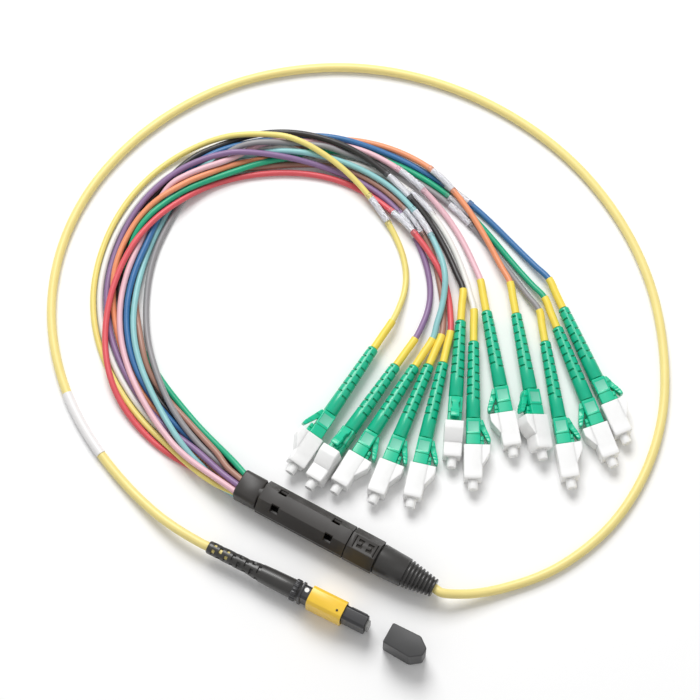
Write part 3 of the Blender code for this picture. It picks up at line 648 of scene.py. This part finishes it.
@dataclass
class Cord:
    """One free cord of the cable, which lies where its CAD tube lies."""

    node: str
    diameter: float
    finish: Finish
    exit: Vector
    far_end: str
    hidden_end: float = 1.0 * MM
    line: CentreLine = field(init=False)
    piece: Object = field(init=False)

    def build(self) -> None:
        """Makes the round cord along the CAD tube's middle line."""
        read = CentreLine.of_tube(self.node, self.diameter, self.exit)
        self.line = read.rounded()
        held = self.line.reaching(self.hidden_end)
        curve = held.tube("cord_" + self.node, self.diameter / 2)
        self.piece = add_piece(
            "cord_" + self.node, curve, self.finish, stands_for=self.node
        )

    def declare(self, with_pieces: Sequence[Object]) -> None:
        """Logs the cord's length.

        Args:
            with_pieces: The separate pieces on the cord; not used.
        """
        round(self.line.length, 4)
        log.info("cord %s: %.0f mm", self.node, self.line.length / MM)

    def end_direction(self) -> Vector:
        """The way that the cord runs into its far end."""
        return (self.line.points[-1] - self.line.points[-2]).normalized()


# Small connectors

# Places along the trigger in millimetres, and the share of its full width there.
TRIGGER_PROFILE = (
    (0.2, 0.8), (0.4, 1.0), (2.0, 1.0), (2.5, 0.72), (4.2, 0.72), (4.7, 1.0), (5.2, 1.0),
    (5.35, 0.94), (5.6, 0.94), (5.75, 1.0), (6.1, 1.0), (6.25, 0.94), (6.5, 0.94), (6.65, 1.0),
    (7.4, 1.0), (7.6, 0.86),
)
GRIP_SHARE = 0.94
# Shares of the latch arm's length, and the share of its full width there.
LATCH_PROFILE = ((0.0, 0.86), (0.04, 1.0), (0.2, 1.0), (0.26, 0.7), (0.75, 0.7), (1.0, 0.7))
# How far back from the cap's front and how far in from its side, in millimetres.
CAP_FRONT_PROFILE = ((1.3, 0.1), (0.3, 0.12), (0.08, 0.24), (0.0, 0.42))
# Places along the hood in millimetres, the share of its rise and how far its edge is trimmed.
HOOD_PROFILE = (
    (0.0, 1.0, 0.12), (0.12, 1.0, 0.0), (2.3, 1.0, 0.0), (2.7, 0.95, 0.0), (5.9, 0.16, 0.02),
    (6.6, 0.0, 0.06),
)


@dataclass
class SmallConnector:
    """A green connector on a leg: ribbed boot, body with latch and trigger, dust cap, sleeves."""

    leg: Leg
    boot_length: float = 26.0 * MM
    boot_tail_radius: float = 1.75 * MM
    boot_waist_radius: float = 2.1855 * MM
    boot_root_radius: float = 2.35 * MM
    boot_taper: float = 0.64
    boot_smooth: float = 6.2 * MM
    boot_slots: int = 14
    first_slot: float = 0.75
    slot_width: float = 0.65 * MM
    slot_depth: float = 0.55 * MM
    slot_reach: float = math.radians(72)
    body_size: float = 4.5 * MM
    body_length: float = 16.6 * MM
    body_corner: float = 0.35 * MM
    body_edge: float = 0.15 * MM
    body_step: float = 8.6 * MM
    body_step_depth: float = 0.12 * MM
    neck_length: float = 1.0 * MM
    neck_half: float = 1.3 * MM
    ring_length: float = 5.2 * MM
    groove_width: float = 0.32 * MM
    groove_depth: float = 0.22 * MM
    pad_gap: float = 0.55 * MM
    pad_rim: float = 0.35 * MM
    pad_depth: float = 0.14 * MM
    latch_width: float = 2.8 * MM
    latch_thickness: float = 0.9 * MM
    latch_tail: float = 3.2 * MM
    latch_root: float = 3.0 * MM
    arm_corner: float = 0.2 * MM
    grip_depth: float = 0.1 * MM
    trigger_rise: float = 3.3 * MM
    trigger_reach: float = 7.6 * MM
    cap_start: float = 35.3 * MM
    cap_size: float = 6.1 * MM
    cap_length: float = 11.1 * MM
    cap_corner: float = 0.5 * MM
    cap_edge: float = 0.12 * MM
    bore_depth: float = 7.9 * MM
    bore_gap: float = 0.3 * MM
    bore_corner: float = 0.3 * MM
    hood_rise: float = 2.3 * MM
    nub_radius: float = 1.6 * MM
    nub_length: float = 3.1 * MM
    leg_diameter: float = 2.0 * MM
    sleeve_length: float = 11.0 * MM
    sleeve_radius: float = 1.27 * MM
    label_far: float = 60.0 * MM
    label_near: float = 47.5 * MM
    label_margin: float = 1.5 * MM
    label_radius: float = 1.14 * MM
    paper_radius: float = 1.08 * MM
    cord: Cord = field(init=False)
    place: Matrix = field(init=False)

    def find_place(self) -> Matrix:
        """Finds the connector's frame: origin at its boot's tail, X forwards, Z to its latch.

        Returns:
            The frame's matrix.
        """
        forwards = self.cord.end_direction()
        origin = self.cord.line.points[-1] + forwards * SEAT_GAP
        node = frame["nodes"][f"lc_body_{self.leg.number:02d}"]
        out = []
        for vertex in node.data.vertices:
            away = vertex.co - origin
            out.append(away - forwards * away.dot(forwards))
        reach = max(side.length for side in out)
        latch = sum((side for side in out if side.length > 0.97 * reach), Vector()).normalized()
        side = latch.cross(forwards).normalized()
        return axes_matrix(origin, forwards, side, forwards.cross(side))

    def boot_mesh(self) -> Mesh:
        """Makes the boot: a slow cone with slots from its left and right by turns, then plain.

        Returns:
            The mesh.
        """
        length, pitch = self.boot_length, (self.boot_length - self.boot_smooth) / self.boot_slots
        stations = [0.0, 0.3 * MM]
        for slot in range(self.boot_slots):
            middle = (slot + self.first_slot) * pitch
            stations += [middle + share * self.slot_width for share in (-0.5, -0.42, 0.42, 0.5)]
        stations += [length - 0.3 * MM, length]

        def radius(x: float, angle: float) -> float:
            """Gives the boot's radius.

            Args:
                x: A place along it.
                angle: An angle from its left side.

            Returns:
                The radius there.
            """
            wide = float(np.interp(
                x, (0.0, self.boot_taper * length, length),
                (self.boot_tail_radius, self.boot_waist_radius, self.boot_root_radius),
            ))
            if x in (0.0, length):
                wide -= END_ROUNDING
            slot = int(x / pitch - self.first_slot + 0.5)
            inside = abs(x - (slot + self.first_slot) * pitch) < 0.45 * self.slot_width
            towards = math.cos(angle) if slot % 2 else -math.cos(angle)
            if inside and slot < self.boot_slots and towards > math.cos(self.slot_reach):
                wide -= self.slot_depth
            return wide

        return barrel("small_boot", stations, radius, 36)

    def body_mesh(self) -> Mesh:
        """Makes the body with its groove and sunk pads, its latch arm and its trigger.

        Returns:
            The mesh.
        """
        half, start = self.body_size / 2, self.boot_length + SEAT_GAP
        line, step = start + self.ring_length, start + self.body_step
        pad_end = line - self.pad_gap
        pad_start = pad_end - self.body_size + 2 * self.body_corner
        sunk, slim = half - self.groove_depth, half - self.body_step_depth
        stations = [
            (start - self.neck_length, self.neck_half), (start, self.neck_half),
            (start, half - self.body_edge), (start + self.body_edge, half), (pad_start, half),
            (pad_end, half), (line, half), (line + STEP, sunk), (line + self.groove_width, sunk),
            (line + self.groove_width + STEP, half), (step, half), (step + STEP, slim),
            (start + self.body_length, slim),
        ]
        bm = bmesh.new()
        bands = add_shell(
            bm, [square_ring(x, wide, -wide, wide, self.body_corner) for x, wide in stations]
        )
        bmesh.ops.recalc_face_normals(bm, faces=bm.faces)
        # The flat sides take a pad, and the corners and the top, under the latch, take none.
        pads = [face for face in bands[4] if face.calc_area() > 4 * MM * MM
                and face.calc_center_median().z < 0.9 * half]
        bmesh.ops.inset_individual(bm, faces=pads, thickness=self.pad_rim, depth=-self.pad_depth)
        for face in pads:
            face.material_index = 1
        self.add_trigger(bm, start, half)
        self.add_latch(bm, half)
        mesh = finished_mesh("small_body", bm)
        mesh.materials.append(CONNECTOR_GREEN.material())
        mesh.materials.append(PAD_GREEN.material())
        return mesh

    def add_trigger(self, bm: BMesh, start: float, half: float) -> None:
        """Adds the trigger, which rises forwards from the back of the body over the latch.

        Args:
            bm: The body's mesh.
            start: The back of the body.
            half: Half the body's size.
        """
        tip, top, thick = self.trigger_reach, half + self.trigger_rise, self.latch_thickness
        sunk, wide = half - 0.5 * MM, self.latch_width / 2
        rings = []
        for along, share in TRIGGER_PROFILE:
            x = along * MM
            low = np.interp(x, [2.4 * MM, tip], [sunk, top - thick])
            high = np.interp(x, [0.2 * MM, tip - 1.2 * MM], [half + 0.7 * MM, top])
            high -= self.grip_depth if share == GRIP_SHARE else 0.0
            rings.append(square_ring(start + x, wide * share, low, high, self.arm_corner))
        add_shell(bm, rings)

    def add_latch(self, bm: BMesh, half: float) -> None:
        """Adds the latch arm, which rises backwards out of the dust cap's hood.

        Args:
            bm: The body's mesh.
            half: Half the body's size.
        """
        tail, root = self.cap_start - self.latch_tail, self.cap_start + self.latch_root
        wide, thick = self.latch_width / 2, self.latch_thickness
        rings = []
        for share, width in LATCH_PROFILE:
            x = tail + share * (root - tail)
            low = np.interp(x, [tail, root - 1.6 * MM], [half + 0.1 * MM, half - 0.5 * MM])
            high = np.interp(x, [tail, root - 1.8 * MM, root],
                             [half + thick + 0.1 * MM, half + thick + 0.5 * MM, half + 0.5 * MM])
            rings.append(square_ring(x, wide * width, low, high, self.arm_corner))
        add_shell(bm, rings)

    def cap_mesh(self) -> Mesh:
        """Makes the white dust cap with its open back, its hood over the latch and its round nub.

        Returns:
            The mesh.
        """
        half, rear, front = self.cap_size / 2, self.cap_start, self.cap_start + self.cap_length
        bore, edge = self.body_size / 2 + self.bore_gap, self.cap_edge
        bm = bmesh.new()
        ends = (rear + self.bore_depth, rear)
        rings = [square_ring(x, bore, -bore, bore, self.bore_corner) for x in ends]
        outside = [(rear, half - edge), (rear + edge, half)]
        outside += [(front - back * MM, half - inward * MM) for back, inward in CAP_FRONT_PROFILE]
        rings += [square_ring(x, wide, -wide, wide, self.cap_corner) for x, wide in outside]
        add_shell(bm, rings)
        base, wide = half - 0.6 * MM, half - 0.06 * MM
        hood = [
            square_ring(rear + 3.0 * MM, wide - MM, base, half + 0.8 * MM, 0.2 * MM),
            square_ring(rear, wide - MM, base, half + self.hood_rise - 0.6 * MM, 0.2 * MM),
        ]
        for along, rise, trim in HOOD_PROFILE:
            hood.append(square_ring(rear + along * MM, wide - trim * MM, base,
                                    half + self.hood_rise * rise - trim * MM, 0.25 * MM))
        add_shell(bm, hood)
        end = front + self.nub_length
        nub = [(front - 0.6 * MM, 1.0), (front + 0.1 * MM, 1.0), (end - 0.3 * MM, 1.0),
               (end - 0.08 * MM, 0.94), (end, 0.82), (end, 0.62), (end - 0.25 * MM, 0.52)]
        turns = [math.tau * i / 28 for i in range(28)]
        add_shell(bm, [[Vector((x, self.nub_radius * share * math.cos(turn),
                                self.nub_radius * share * math.sin(turn))) for turn in turns]
                       for x, share in nub])
        return finished_mesh("small_cap", bm)

    def build(self) -> None:
        """Makes the leg and everything that is on it."""
        name, number = self.leg.colour_name, self.leg.number
        self.cord = Cord(
            "leg_" + name, self.leg_diameter, self.leg.finish, self.leg_start(), "connector"
        )
        self.cord.build()
        self.place = self.find_place()
        forwards = self.place.to_3x3() @ Vector((1, 0, 0))
        upright = axes_matrix(self.place.translation, forwards, UP.cross(forwards), UP)
        worn = [
            add_piece(f"small_{kind}_{number:02d}", mesh, finish, place=place,
                      stands_for=f"lc_{kind}_{number:02d}")
            for kind, mesh, finish, slot, place in (
                ("boot", self.boot_mesh(), BOOT_GREEN, "connector_boot_green", upright),
                ("body", self.body_mesh(), CONNECTOR_GREEN, "connector_green", self.place),
                ("cap", self.cap_mesh(), CAP_WHITE, "cap_white", self.place),
            )
        ]
        self.cord.declare([*worn, *self.sleeves()])

    def leg_start(self) -> Vector:
        """Finds where the leg leaves the breakout housing.

        Returns:
            The middle of the leg's first ring.
        """
        low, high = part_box("breakout_leg_inlet")
        near = Vector((low.x - SEAT_GAP, 0.0, (low.z + high.z) / 2))
        corners = [v.co for v in frame["nodes"]["leg_" + self.leg.colour_name].data.vertices]
        front = max(corner.x for corner in corners if abs(corner.y) < 8 * MM)
        ring = [c for c in corners if front - c.x < 0.6 * MM and (c - near).length < 9 * MM]
        return sum(ring, Vector()) / len(ring)

    def sleeves(self) -> list[Object]:
        """Makes the yellow crimp sleeve, the paper slip and the clear tube over the slip.

        Returns:
            The three pieces.
        """
        name, line = self.leg.colour_name, self.cord.line
        total = line.length
        crimp = line.stretch(total - self.sleeve_length, total + SEAT_GAP)
        far, near = total - self.label_far, total - self.label_near
        rise = self.label_radius - self.cord.diameter / 2
        paper = line.stretch(far + self.label_margin, near - self.label_margin).lifted(rise)
        clear = line.stretch(far, near).lifted(rise)
        return [
            add_piece("crimp_sleeve_" + name, crimp.tube("crimp", self.sleeve_radius, 5),
                      CRIMP_YELLOW),
            add_piece("label_slip_" + name, paper.tube("slip", self.paper_radius, 5),
                      PAPER_WHITE),
            add_piece("label_tube_" + name, clear.tube("clear", self.label_radius, 5),
                      CLEAR_SLEEVE),
        ]


# Breakout housing


@dataclass
class BreakoutHousing:
    """The black housing that splits the trunk into its legs."""

    edge: float = 0.35 * MM
    relief_plain: float = 9.6 * MM
    relief_ribs: int = 8
    relief_tip: float = 3.0 * MM
    relief_slim: float = 0.35 * MM
    rib_depth: float = 0.6 * MM
    marks_forward: float = 0.4 * MM
    mark_place: Pair = (1.65 * MM, 0.95 * MM)
    mark_size: Pair = (1.9 * MM, 0.95 * MM)
    mark_depth: float = 0.55 * MM
    bar_place: float = 3.6 * MM
    bar_size: Pair = (0.35 * MM, 4.2 * MM)
    link_shift: float = 0.5 * MM
    link_size: Pair = (0.5 * MM, 2.4 * MM)
    tongue_reach: float = 1.0 * MM
    tongue_step: float = 0.6 * MM

    def build(self) -> None:
        """Makes the shells, collar, inlet and strain relief, and the tongues between them."""
        moulded("housing_lower", "breakout_lower_shell", HOUSING_BLACK, self.edge)
        moulded("housing_upper", "breakout_upper_shell", HOUSING_BLACK, self.edge)
        self.build_collar()
        moulded("housing_inlet", "breakout_leg_inlet", HOUSING_BLACK, 0.7 * MM)
        self.build_relief()
        self.build_tongues()
        log.info("breakout housing")

    def build_tongues(self) -> None:
        """Makes the stepped tongues by which the pieces of the housing sit in each other."""
        low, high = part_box("breakout_collar")
        half, middle = (high.y - low.y) / 2 - self.tongue_step, (low.z + high.z) / 2
        seams = {
            "inlet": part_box("breakout_leg_inlet")[1].x,
            "collar": low.x - SEAT_GAP,
            "relief": high.x,
        }
        for name, seam in seams.items():
            wide = half - MM if name == "inlet" else half - 0.4 * MM
            ends = (seam - self.tongue_reach, seam + SEAT_GAP + self.tongue_reach)
            mesh = barrel("tongue", ends, lambda _x, _angle: wide, 32)
            mesh.transform(Matrix.Translation((0.0, 0.0, middle)))
            add_piece("housing_tongue_" + name, mesh, HOUSING_BLACK)

    def build_collar(self) -> None:
        """Makes the collar with the sunk frame and latches in its flat top, their floors painted near-black as
        painted shade.
        """
        low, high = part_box("breakout_collar")
        middle, floor = (low.x + high.x) / 2 + self.marks_forward, high.z - self.mark_depth
        along, across = self.mark_place
        spots = []
        for way in (-1, 1):
            spots += [(way * along, side * across, self.mark_size) for side in (-1, 1)]
            spots.append((way * self.bar_place, 0.0, self.bar_size))
            spots.append((way * along + self.link_shift, 0.0, self.link_size))
        cutters = [self.pocket(middle + x, y, size, floor, high.z) for x, y, size in spots]
        mesh = carved(moulded_copy("breakout_collar"), cutters)
        mesh.materials.clear()
        mesh.materials.append(HOUSING_BLACK.material())
        mesh.materials.append(DARK_MARK_AND_PAINTED_SHADE.material())
        # The pocket floors take the near-black finish: painted shade that makes the shallow pockets look like deep
        # dark windows.
        for face in mesh.polygons:
            face.material_index = int(abs(face.center.z - floor) < 0.05 * MM)
        collar = add_piece("housing_collar", mesh, HOUSING_BLACK,
                           stands_for="breakout_collar")
        round_edges(collar, 0.16 * MM, 2)

    @staticmethod
    def pocket(x: float, y: float, size: Pair, floor: float, top: float) -> Mesh:
        """A block to sink into the collar's top, given by its middle and its size."""
        low = (x - size[0] / 2, y - size[1] / 2, floor)
        return box_mesh("pocket", low, (x + size[0] / 2, y + size[1] / 2, top + MM))

    def build_relief(self) -> None:
        """Makes the cone with its plain part and its thread-like ribs."""
        low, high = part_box("breakout_strain_relief")
        root, length = (high.z - low.z) / 2, high.x - low.x
        tip, neck = self.relief_tip, root - self.relief_slim
        pitch = (length - self.relief_plain) / self.relief_ribs
        stations = [0.0, 0.35 * MM, self.relief_plain - 0.1 * MM]
        for rib in range(self.relief_ribs):
            at = self.relief_plain + rib * pitch
            stations += [at + share * pitch for share in (0.02, 0.14, 0.44, 0.56, 0.7, 0.86, 0.98)]
        stations.append(length)

        def radius(x: float, _angle: float) -> float:
            """Gives the strain relief's radius.

            Args:
                x: A place along it.

            Returns:
                The radius there.
            """
            if x <= self.relief_plain:
                worn = 0.3 * MM if x == 0.0 else 0.0
                return root + (neck - root) * x / self.relief_plain - worn
            share = (x - self.relief_plain) / (length - self.relief_plain)
            crest = neck + (tip - neck) * share
            phase = ((x - self.relief_plain) / pitch) % 1.0
            if 0.1 < phase < 0.48:
                return crest - self.rib_depth
            return crest - (0.08 * MM if phase < 0.6 or phase > 0.9 else 0.0)

        mesh = barrel("relief", stations, radius, 48)
        mesh.transform(Matrix.Translation((low.x, 0.0, (low.z + high.z) / 2)))
        add_piece("strain_relief", mesh, BOOT_BLACK,
                  stands_for="breakout_strain_relief")


# Multi-fibre plug


@dataclass
class MultiFibrePlug:
    """The plug on the trunk's far end, with its sliding yellow coupling sleeve."""

    trunk: Cord
    boot_length: float = 32.1 * MM
    boot_tail_radius: float = 2.1 * MM
    boot_root_radius: float = 3.2 * MM
    windowed_share: float = 0.56
    window_rows: int = 8
    first_window: float = 1.6 * MM
    shallow_from: int = 3
    window_length: float = 1.15 * MM
    window_edge: float = 0.12 * MM
    window_reach: float = math.radians(27)
    shallow_depth: float = 0.7 * MM
    open_depth: float = 0.5 * MM
    core_radius: float = 1.5 * MM
    core_cover: float = 0.12 * MM
    spigot_length: float = 3.0 * MM
    spigot_radius: float = 2.7 * MM
    knurl_span: Pair = (-2.4 * MM, -0.5 * MM)
    knurl_rise: float = 0.3 * MM
    knurl_teeth: int = 18
    knurl_depth: float = 0.14 * MM
    fibre_count: int = 12
    fibre_pitch: float = 0.25 * MM
    fibre_radius: float = 0.07 * MM
    dot_radius: float = 0.75 * MM
    dot_place: Pair = (1.95 * MM, 0.7 * MM)
    eye_radius: float = 0.38 * MM
    eye_place: Pair = (-2.0 * MM, -0.9 * MM)
    place: Matrix = field(init=False)

    def find_place(self) -> Matrix:
        """Finds the plug's frame: origin at the trunk's end, X along the plug, Z up.

        Returns:
            The frame's matrix.
        """
        forwards = -Vector(frame["joints"][0]["axis"]).normalized()
        start = self.trunk.line.points[-1] + forwards * SEAT_GAP
        return axes_matrix(start, forwards, UP.cross(forwards), UP)

    def boot_mesh(self) -> Mesh:
        """Makes the boot with windows in its rear, through which the trunk's jacket shows.

        Returns:
            The mesh.
        """
        length = self.boot_length
        pitch = self.windowed_share * length / self.window_rows
        profile = [(0.0, self.boot_tail_radius), (0.45 * length, 0.72 * self.boot_root_radius),
                   (0.6 * length, 0.92 * self.boot_root_radius), (length, self.boot_root_radius)]
        stations = [0.0, 0.4 * MM]
        for row in range(self.window_rows):
            start = self.first_window + row * pitch
            end = start + self.window_length
            stations += [start, start + self.window_edge, end - self.window_edge, end]
        stations += [0.7 * length, 0.8 * length, length - 0.5 * MM, length]

        def radius(x: float, angle: float) -> float:
            """Gives the boot's radius.

            Args:
                x: A place along it.
                angle: An angle from its left side.

            Returns:
                The radius there.
            """
            wide = float(np.interp(x, *zip(*profile)))
            row, into = divmod(x - self.first_window, pitch)
            edge = self.window_edge / 2
            if 0 <= row < self.window_rows and edge < into < self.window_length - edge:
                turn = (angle - (0.0 if row % 2 else math.pi / 4)) % (math.pi / 2)
                if min(turn, math.pi / 2 - turn) < self.window_reach:
                    if row >= self.shallow_from:
                        return wide - self.shallow_depth
                    return min(wide - self.open_depth, self.core_radius - self.core_cover)
            return wide - (END_ROUNDING if x in (0.0, length) else 0.0)

        return barrel("plug_boot", stations, radius, 48)

    def build(self) -> list[Object]:
        """Makes the plug's pieces and the dust cap that lies in front of it.

        Returns:
            The pieces that are on the trunk cord.
        """
        self.place = self.find_place()
        on_cord = [
            add_piece("plug_boot", self.boot_mesh(), BOOT_BLACK, place=self.place,
                      stands_for="mpo_boot"),
            add_piece("plug_boot_core", self.core_mesh(), self.trunk.finish,
                      place=self.place),
            add_piece("plug_spigot", self.spigot_mesh(), PLUG_BLACK,
                      place=self.place),
            moulded("plug_crimp_body", "mpo_crimp_body", PLUG_BLACK, 0.4 * MM),
            moulded("plug_housing", "mpo_plug_housing", PLUG_BLACK, 0.25 * MM),
            moulded("plug_ferrule", "mpo_ferrule", FERRULE_GREY, 0.06 * MM),
            moulded("plug_coupling", "mpo_coupling_sleeve", COUPLING_YELLOW, 0.22 * MM,
                    BODY_OF_COUPLING),
            *self.small_marks(),
        ]
        moulded("plug_dust_cap", "mpo_dust_cap", CAP_BLACK, 0.5 * MM)
        log.info("multi-fibre plug and its dust cap")
        return on_cord

    def core_mesh(self) -> Mesh:
        """The end of the trunk's jacket inside the boot."""
        ends = (0.4 * MM, 0.3 * self.boot_length)
        return barrel("plug_boot_core", ends, lambda _x, _angle: self.core_radius, 24)

    def spigot_mesh(self) -> Mesh:
        """The stub of the crimp body that the boot is pushed over."""
        ends = (self.boot_length - self.spigot_length, self.boot_length + SEAT_GAP + 0.4 * MM)
        return barrel("plug_spigot", ends, lambda _x, _angle: self.spigot_radius, 32)

    def knurl_mesh(self) -> Mesh:
        """Makes the knurled ring at the front of the boot.

        Returns:
            The mesh.
        """
        start, end = (self.boot_length + back for back in self.knurl_span)

        def radius(x: float, angle: float) -> float:
            """Gives the ring's radius.

            Args:
                x: A place along it.
                angle: An angle from its left side.

            Returns:
                The radius there.
            """
            tooth = self.knurl_depth * math.cos(self.knurl_teeth * angle)
            worn = 0.25 * MM if x in (start, end) else 0.0
            return self.boot_root_radius + self.knurl_rise + tooth - worn

        return barrel("plug_knurl", (start, start + 0.3 * MM, end - 0.3 * MM, end), radius, 144)

    @staticmethod
    def disc(name: str, radius: float, thickness: float) -> Mesh:
        """Makes a small round dot that lies flat, facing up.

        Args:
            name: The mesh's name.
            radius: Its radius.
            thickness: Its height.

        Returns:
            The mesh.
        """
        turns = [math.tau * i / 20 for i in range(20)]
        rim = [(radius * math.cos(turn), radius * math.sin(turn)) for turn in turns]
        return closed_mesh(name, [[Vector((*spot, z)) for spot in rim] for z in (0.0, thickness)])

    def small_marks(self) -> list[Object]:
        """Makes the knurl, the white dot, the dark dot and the fibres' ends.

        Returns:
            The pieces.
        """
        crimp_low, crimp_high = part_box("mpo_crimp_body")
        coupling_low, coupling_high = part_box("mpo_coupling_sleeve")
        face = next(m for m in frame["record"]["mounts"] if m["name"] == "mpo_mating_face")
        face_matrix = self.place.copy()
        face_matrix.translation = Vector(face["pos_m"])
        housing_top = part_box("mpo_plug_housing")[1].z
        dot = Matrix.Translation((
            crimp_low.x + self.dot_place[0],
            (crimp_low.y + crimp_high.y) / 2 + self.dot_place[1],
            housing_top,
        ))
        eye = Matrix.Translation((
            coupling_high.x + self.eye_place[0],
            (coupling_low.y + coupling_high.y) / 2 + self.eye_place[1],
            coupling_high.z,
        ))
        return [
            add_piece("plug_knurl", self.knurl_mesh(), PLUG_BLACK, place=self.place),
            add_piece("plug_white_dot", self.disc("dot", self.dot_radius, 0.1 * MM), MARK_WHITE,
                      place=dot),
            add_piece("plug_coupling_eye", self.disc("eye", self.eye_radius, 0.04 * MM), DARK_MARK_AND_PAINTED_SHADE,
                      BODY_OF_COUPLING, place=eye),
            add_piece("plug_fibre_ends", self.fibre_mesh(), FIBRE_GLASS,
                      place=face_matrix),
        ]

    def fibre_mesh(self) -> Mesh:
        """Makes the row of polished fibre ends in the ferrule's face.

        Returns:
            The mesh.
        """
        bm = bmesh.new()
        for fibre in range(self.fibre_count):
            height = (fibre - (self.fibre_count - 1) / 2) * self.fibre_pitch
            spot = Matrix.Translation((0.01 * MM, 0.0, height)) @ Matrix.Rotation(
                math.pi / 2, 4, "Y")
            bmesh.ops.create_cone(
                bm, cap_ends=True, segments=12, radius1=self.fibre_radius,
                radius2=self.fibre_radius, depth=0.02 * MM, matrix=spot,
            )
        mesh = bpy.data.meshes.new("fibre_ends")
        bm.to_mesh(mesh)
        bm.free()
        return mesh


# Trunk


@dataclass
class Trunk:
    """The yellow trunk cord and the bare label wrapped round it."""

    diameter: float = 3.0 * MM
    label_near: float = 458.0 * MM
    label_far: float = 481.5 * MM
    label_radius: float = 1.64 * MM
    cord: Cord = field(init=False)

    def build(self) -> list[Object]:
        """Makes the cord and its label.

        Returns:
            The pieces on the cord so far.
        """
        low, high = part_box("breakout_strain_relief")
        start = Vector((high.x + SEAT_GAP, 0.0, (low.z + high.z) / 2))
        finish = jacket("trunk", (0.92, 0.77, 0.285))
        self.cord = Cord("trunk_cable", self.diameter, finish, start, "plug")
        self.cord.build()
        wrap = self.cord.line.stretch(self.label_near, self.label_far)
        wrap = wrap.lifted(self.label_radius - self.diameter / 2)
        return [
            add_piece("trunk_label", wrap.tube("wrap", self.label_radius, 5), WRAP_WHITE)
        ]


# Camera, floor and light


@dataclass
class Studio:
    """A white sweep under soft light, and a camera that looks steeply down."""

    target: Vector = field(default_factory=lambda: Vector((-21.28, 57.71, 0.0)) * MM)
    distance: float = 800 * MM
    azimuth: float = math.radians(29.0)
    elevation: float = math.radians(70.0)
    lens: float = 127.5
    sensor: float = 36.0
    floor_size: float = 6.0
    floor_level: float = -0.02 * MM
    key_place: Triple = (-0.15, 0.75, 1.0)
    key_energy: float = 13.8
    key_size: float = 0.7
    fill_place: Triple = (0.8, -0.6, 1.1)
    fill_energy: float = 1.5
    fill_size: float = 1.2
    world_strength: float = 0.465

    def build(self) -> None:
        """Makes the camera, the floor, the lights and the surroundings."""
        self.build_camera()
        self.build_floor()
        self.build_lights()

    def build_camera(self) -> None:
        """Makes the camera at the photograph's angle."""
        data = bpy.data.cameras.new("camera")
        data.lens = self.lens
        data.sensor_width = self.sensor
        data.clip_start = 0.01
        camera = placed("camera", data)
        flat = math.cos(self.elevation)
        away = Vector((math.sin(self.azimuth) * flat, -math.cos(self.azimuth) * flat,
                       math.sin(self.elevation)))
        camera.location = self.target + away * self.distance
        camera.rotation_euler = (-away).to_track_quat("-Z", "Y").to_euler()
        bpy.context.scene.camera = camera

    def build_floor(self) -> None:
        """Makes the plain pale floor."""
        half = self.floor_size / 2
        bm = bmesh.new()
        corners = [(-half, -half), (half, -half), (half, half), (-half, half)]
        bm.faces.new([bm.verts.new((*corner, self.floor_level)) for corner in corners])
        mesh = bpy.data.meshes.new("floor")
        bm.to_mesh(mesh)
        bm.free()
        floor = placed("floor", mesh)
        paper = Finish("floor_white", (0.95, 0.95, 0.95), 0.75, 2 * MM, 0.01 * MM, 0.01, 40 * MM)
        mesh.materials.append(paper.material())

    def build_lights(self) -> None:
        """Makes a broad key light behind the cable, a weak fill and a white surround."""
        self.area("key", self.key_place, self.key_energy, self.key_size)
        self.area("fill", self.fill_place, self.fill_energy, self.fill_size)
        world = bpy.data.worlds.new("surround")
        world.use_nodes = True
        sky = world.node_tree.nodes["Background"]
        sky.inputs["Color"].default_value = (1.0, 1.0, 1.0, 1.0)
        sky.inputs["Strength"].default_value = self.world_strength
        bpy.context.scene.world = world
        bpy.context.scene.view_settings.view_transform = "Standard"

    def area(self, name: str, place: Triple, energy: float, size: float) -> None:
        """Adds a square light that faces the cable.

        Args:
            name: The light's name.
            place: How far it hangs to the camera's right, behind the cable and above it.
            energy: Its power in watts.
            size: Its side.
        """
        right = Vector((math.cos(self.azimuth), math.sin(self.azimuth), 0.0))
        back = Vector((-math.sin(self.azimuth), math.cos(self.azimuth), 0.0))
        at = self.target + right * place[0] + back * place[1] + UP * place[2]
        data = bpy.data.lights.new(name, "AREA")
        data.energy = energy
        data.size = size
        lamp = placed(name, data)
        lamp.location = at
        lamp.rotation_euler = (self.target - at).to_track_quat("-Z", "Y").to_euler()


def main() -> None:
    """Builds the scene: the studio, the cords with their connectors, the housing and the plug."""
    Studio().build()
    trunk = Trunk()
    on_trunk = trunk.build()
    for leg in Leg:
        SmallConnector(leg).build()
        log.info("connector %d on the %s leg", leg.number, leg.colour_name)
    BreakoutHousing().build()
    plug = MultiFibrePlug(trunk.cord)
    trunk.cord.declare([*on_trunk, *plug.build()])


if __name__ == "__main__":
    main()
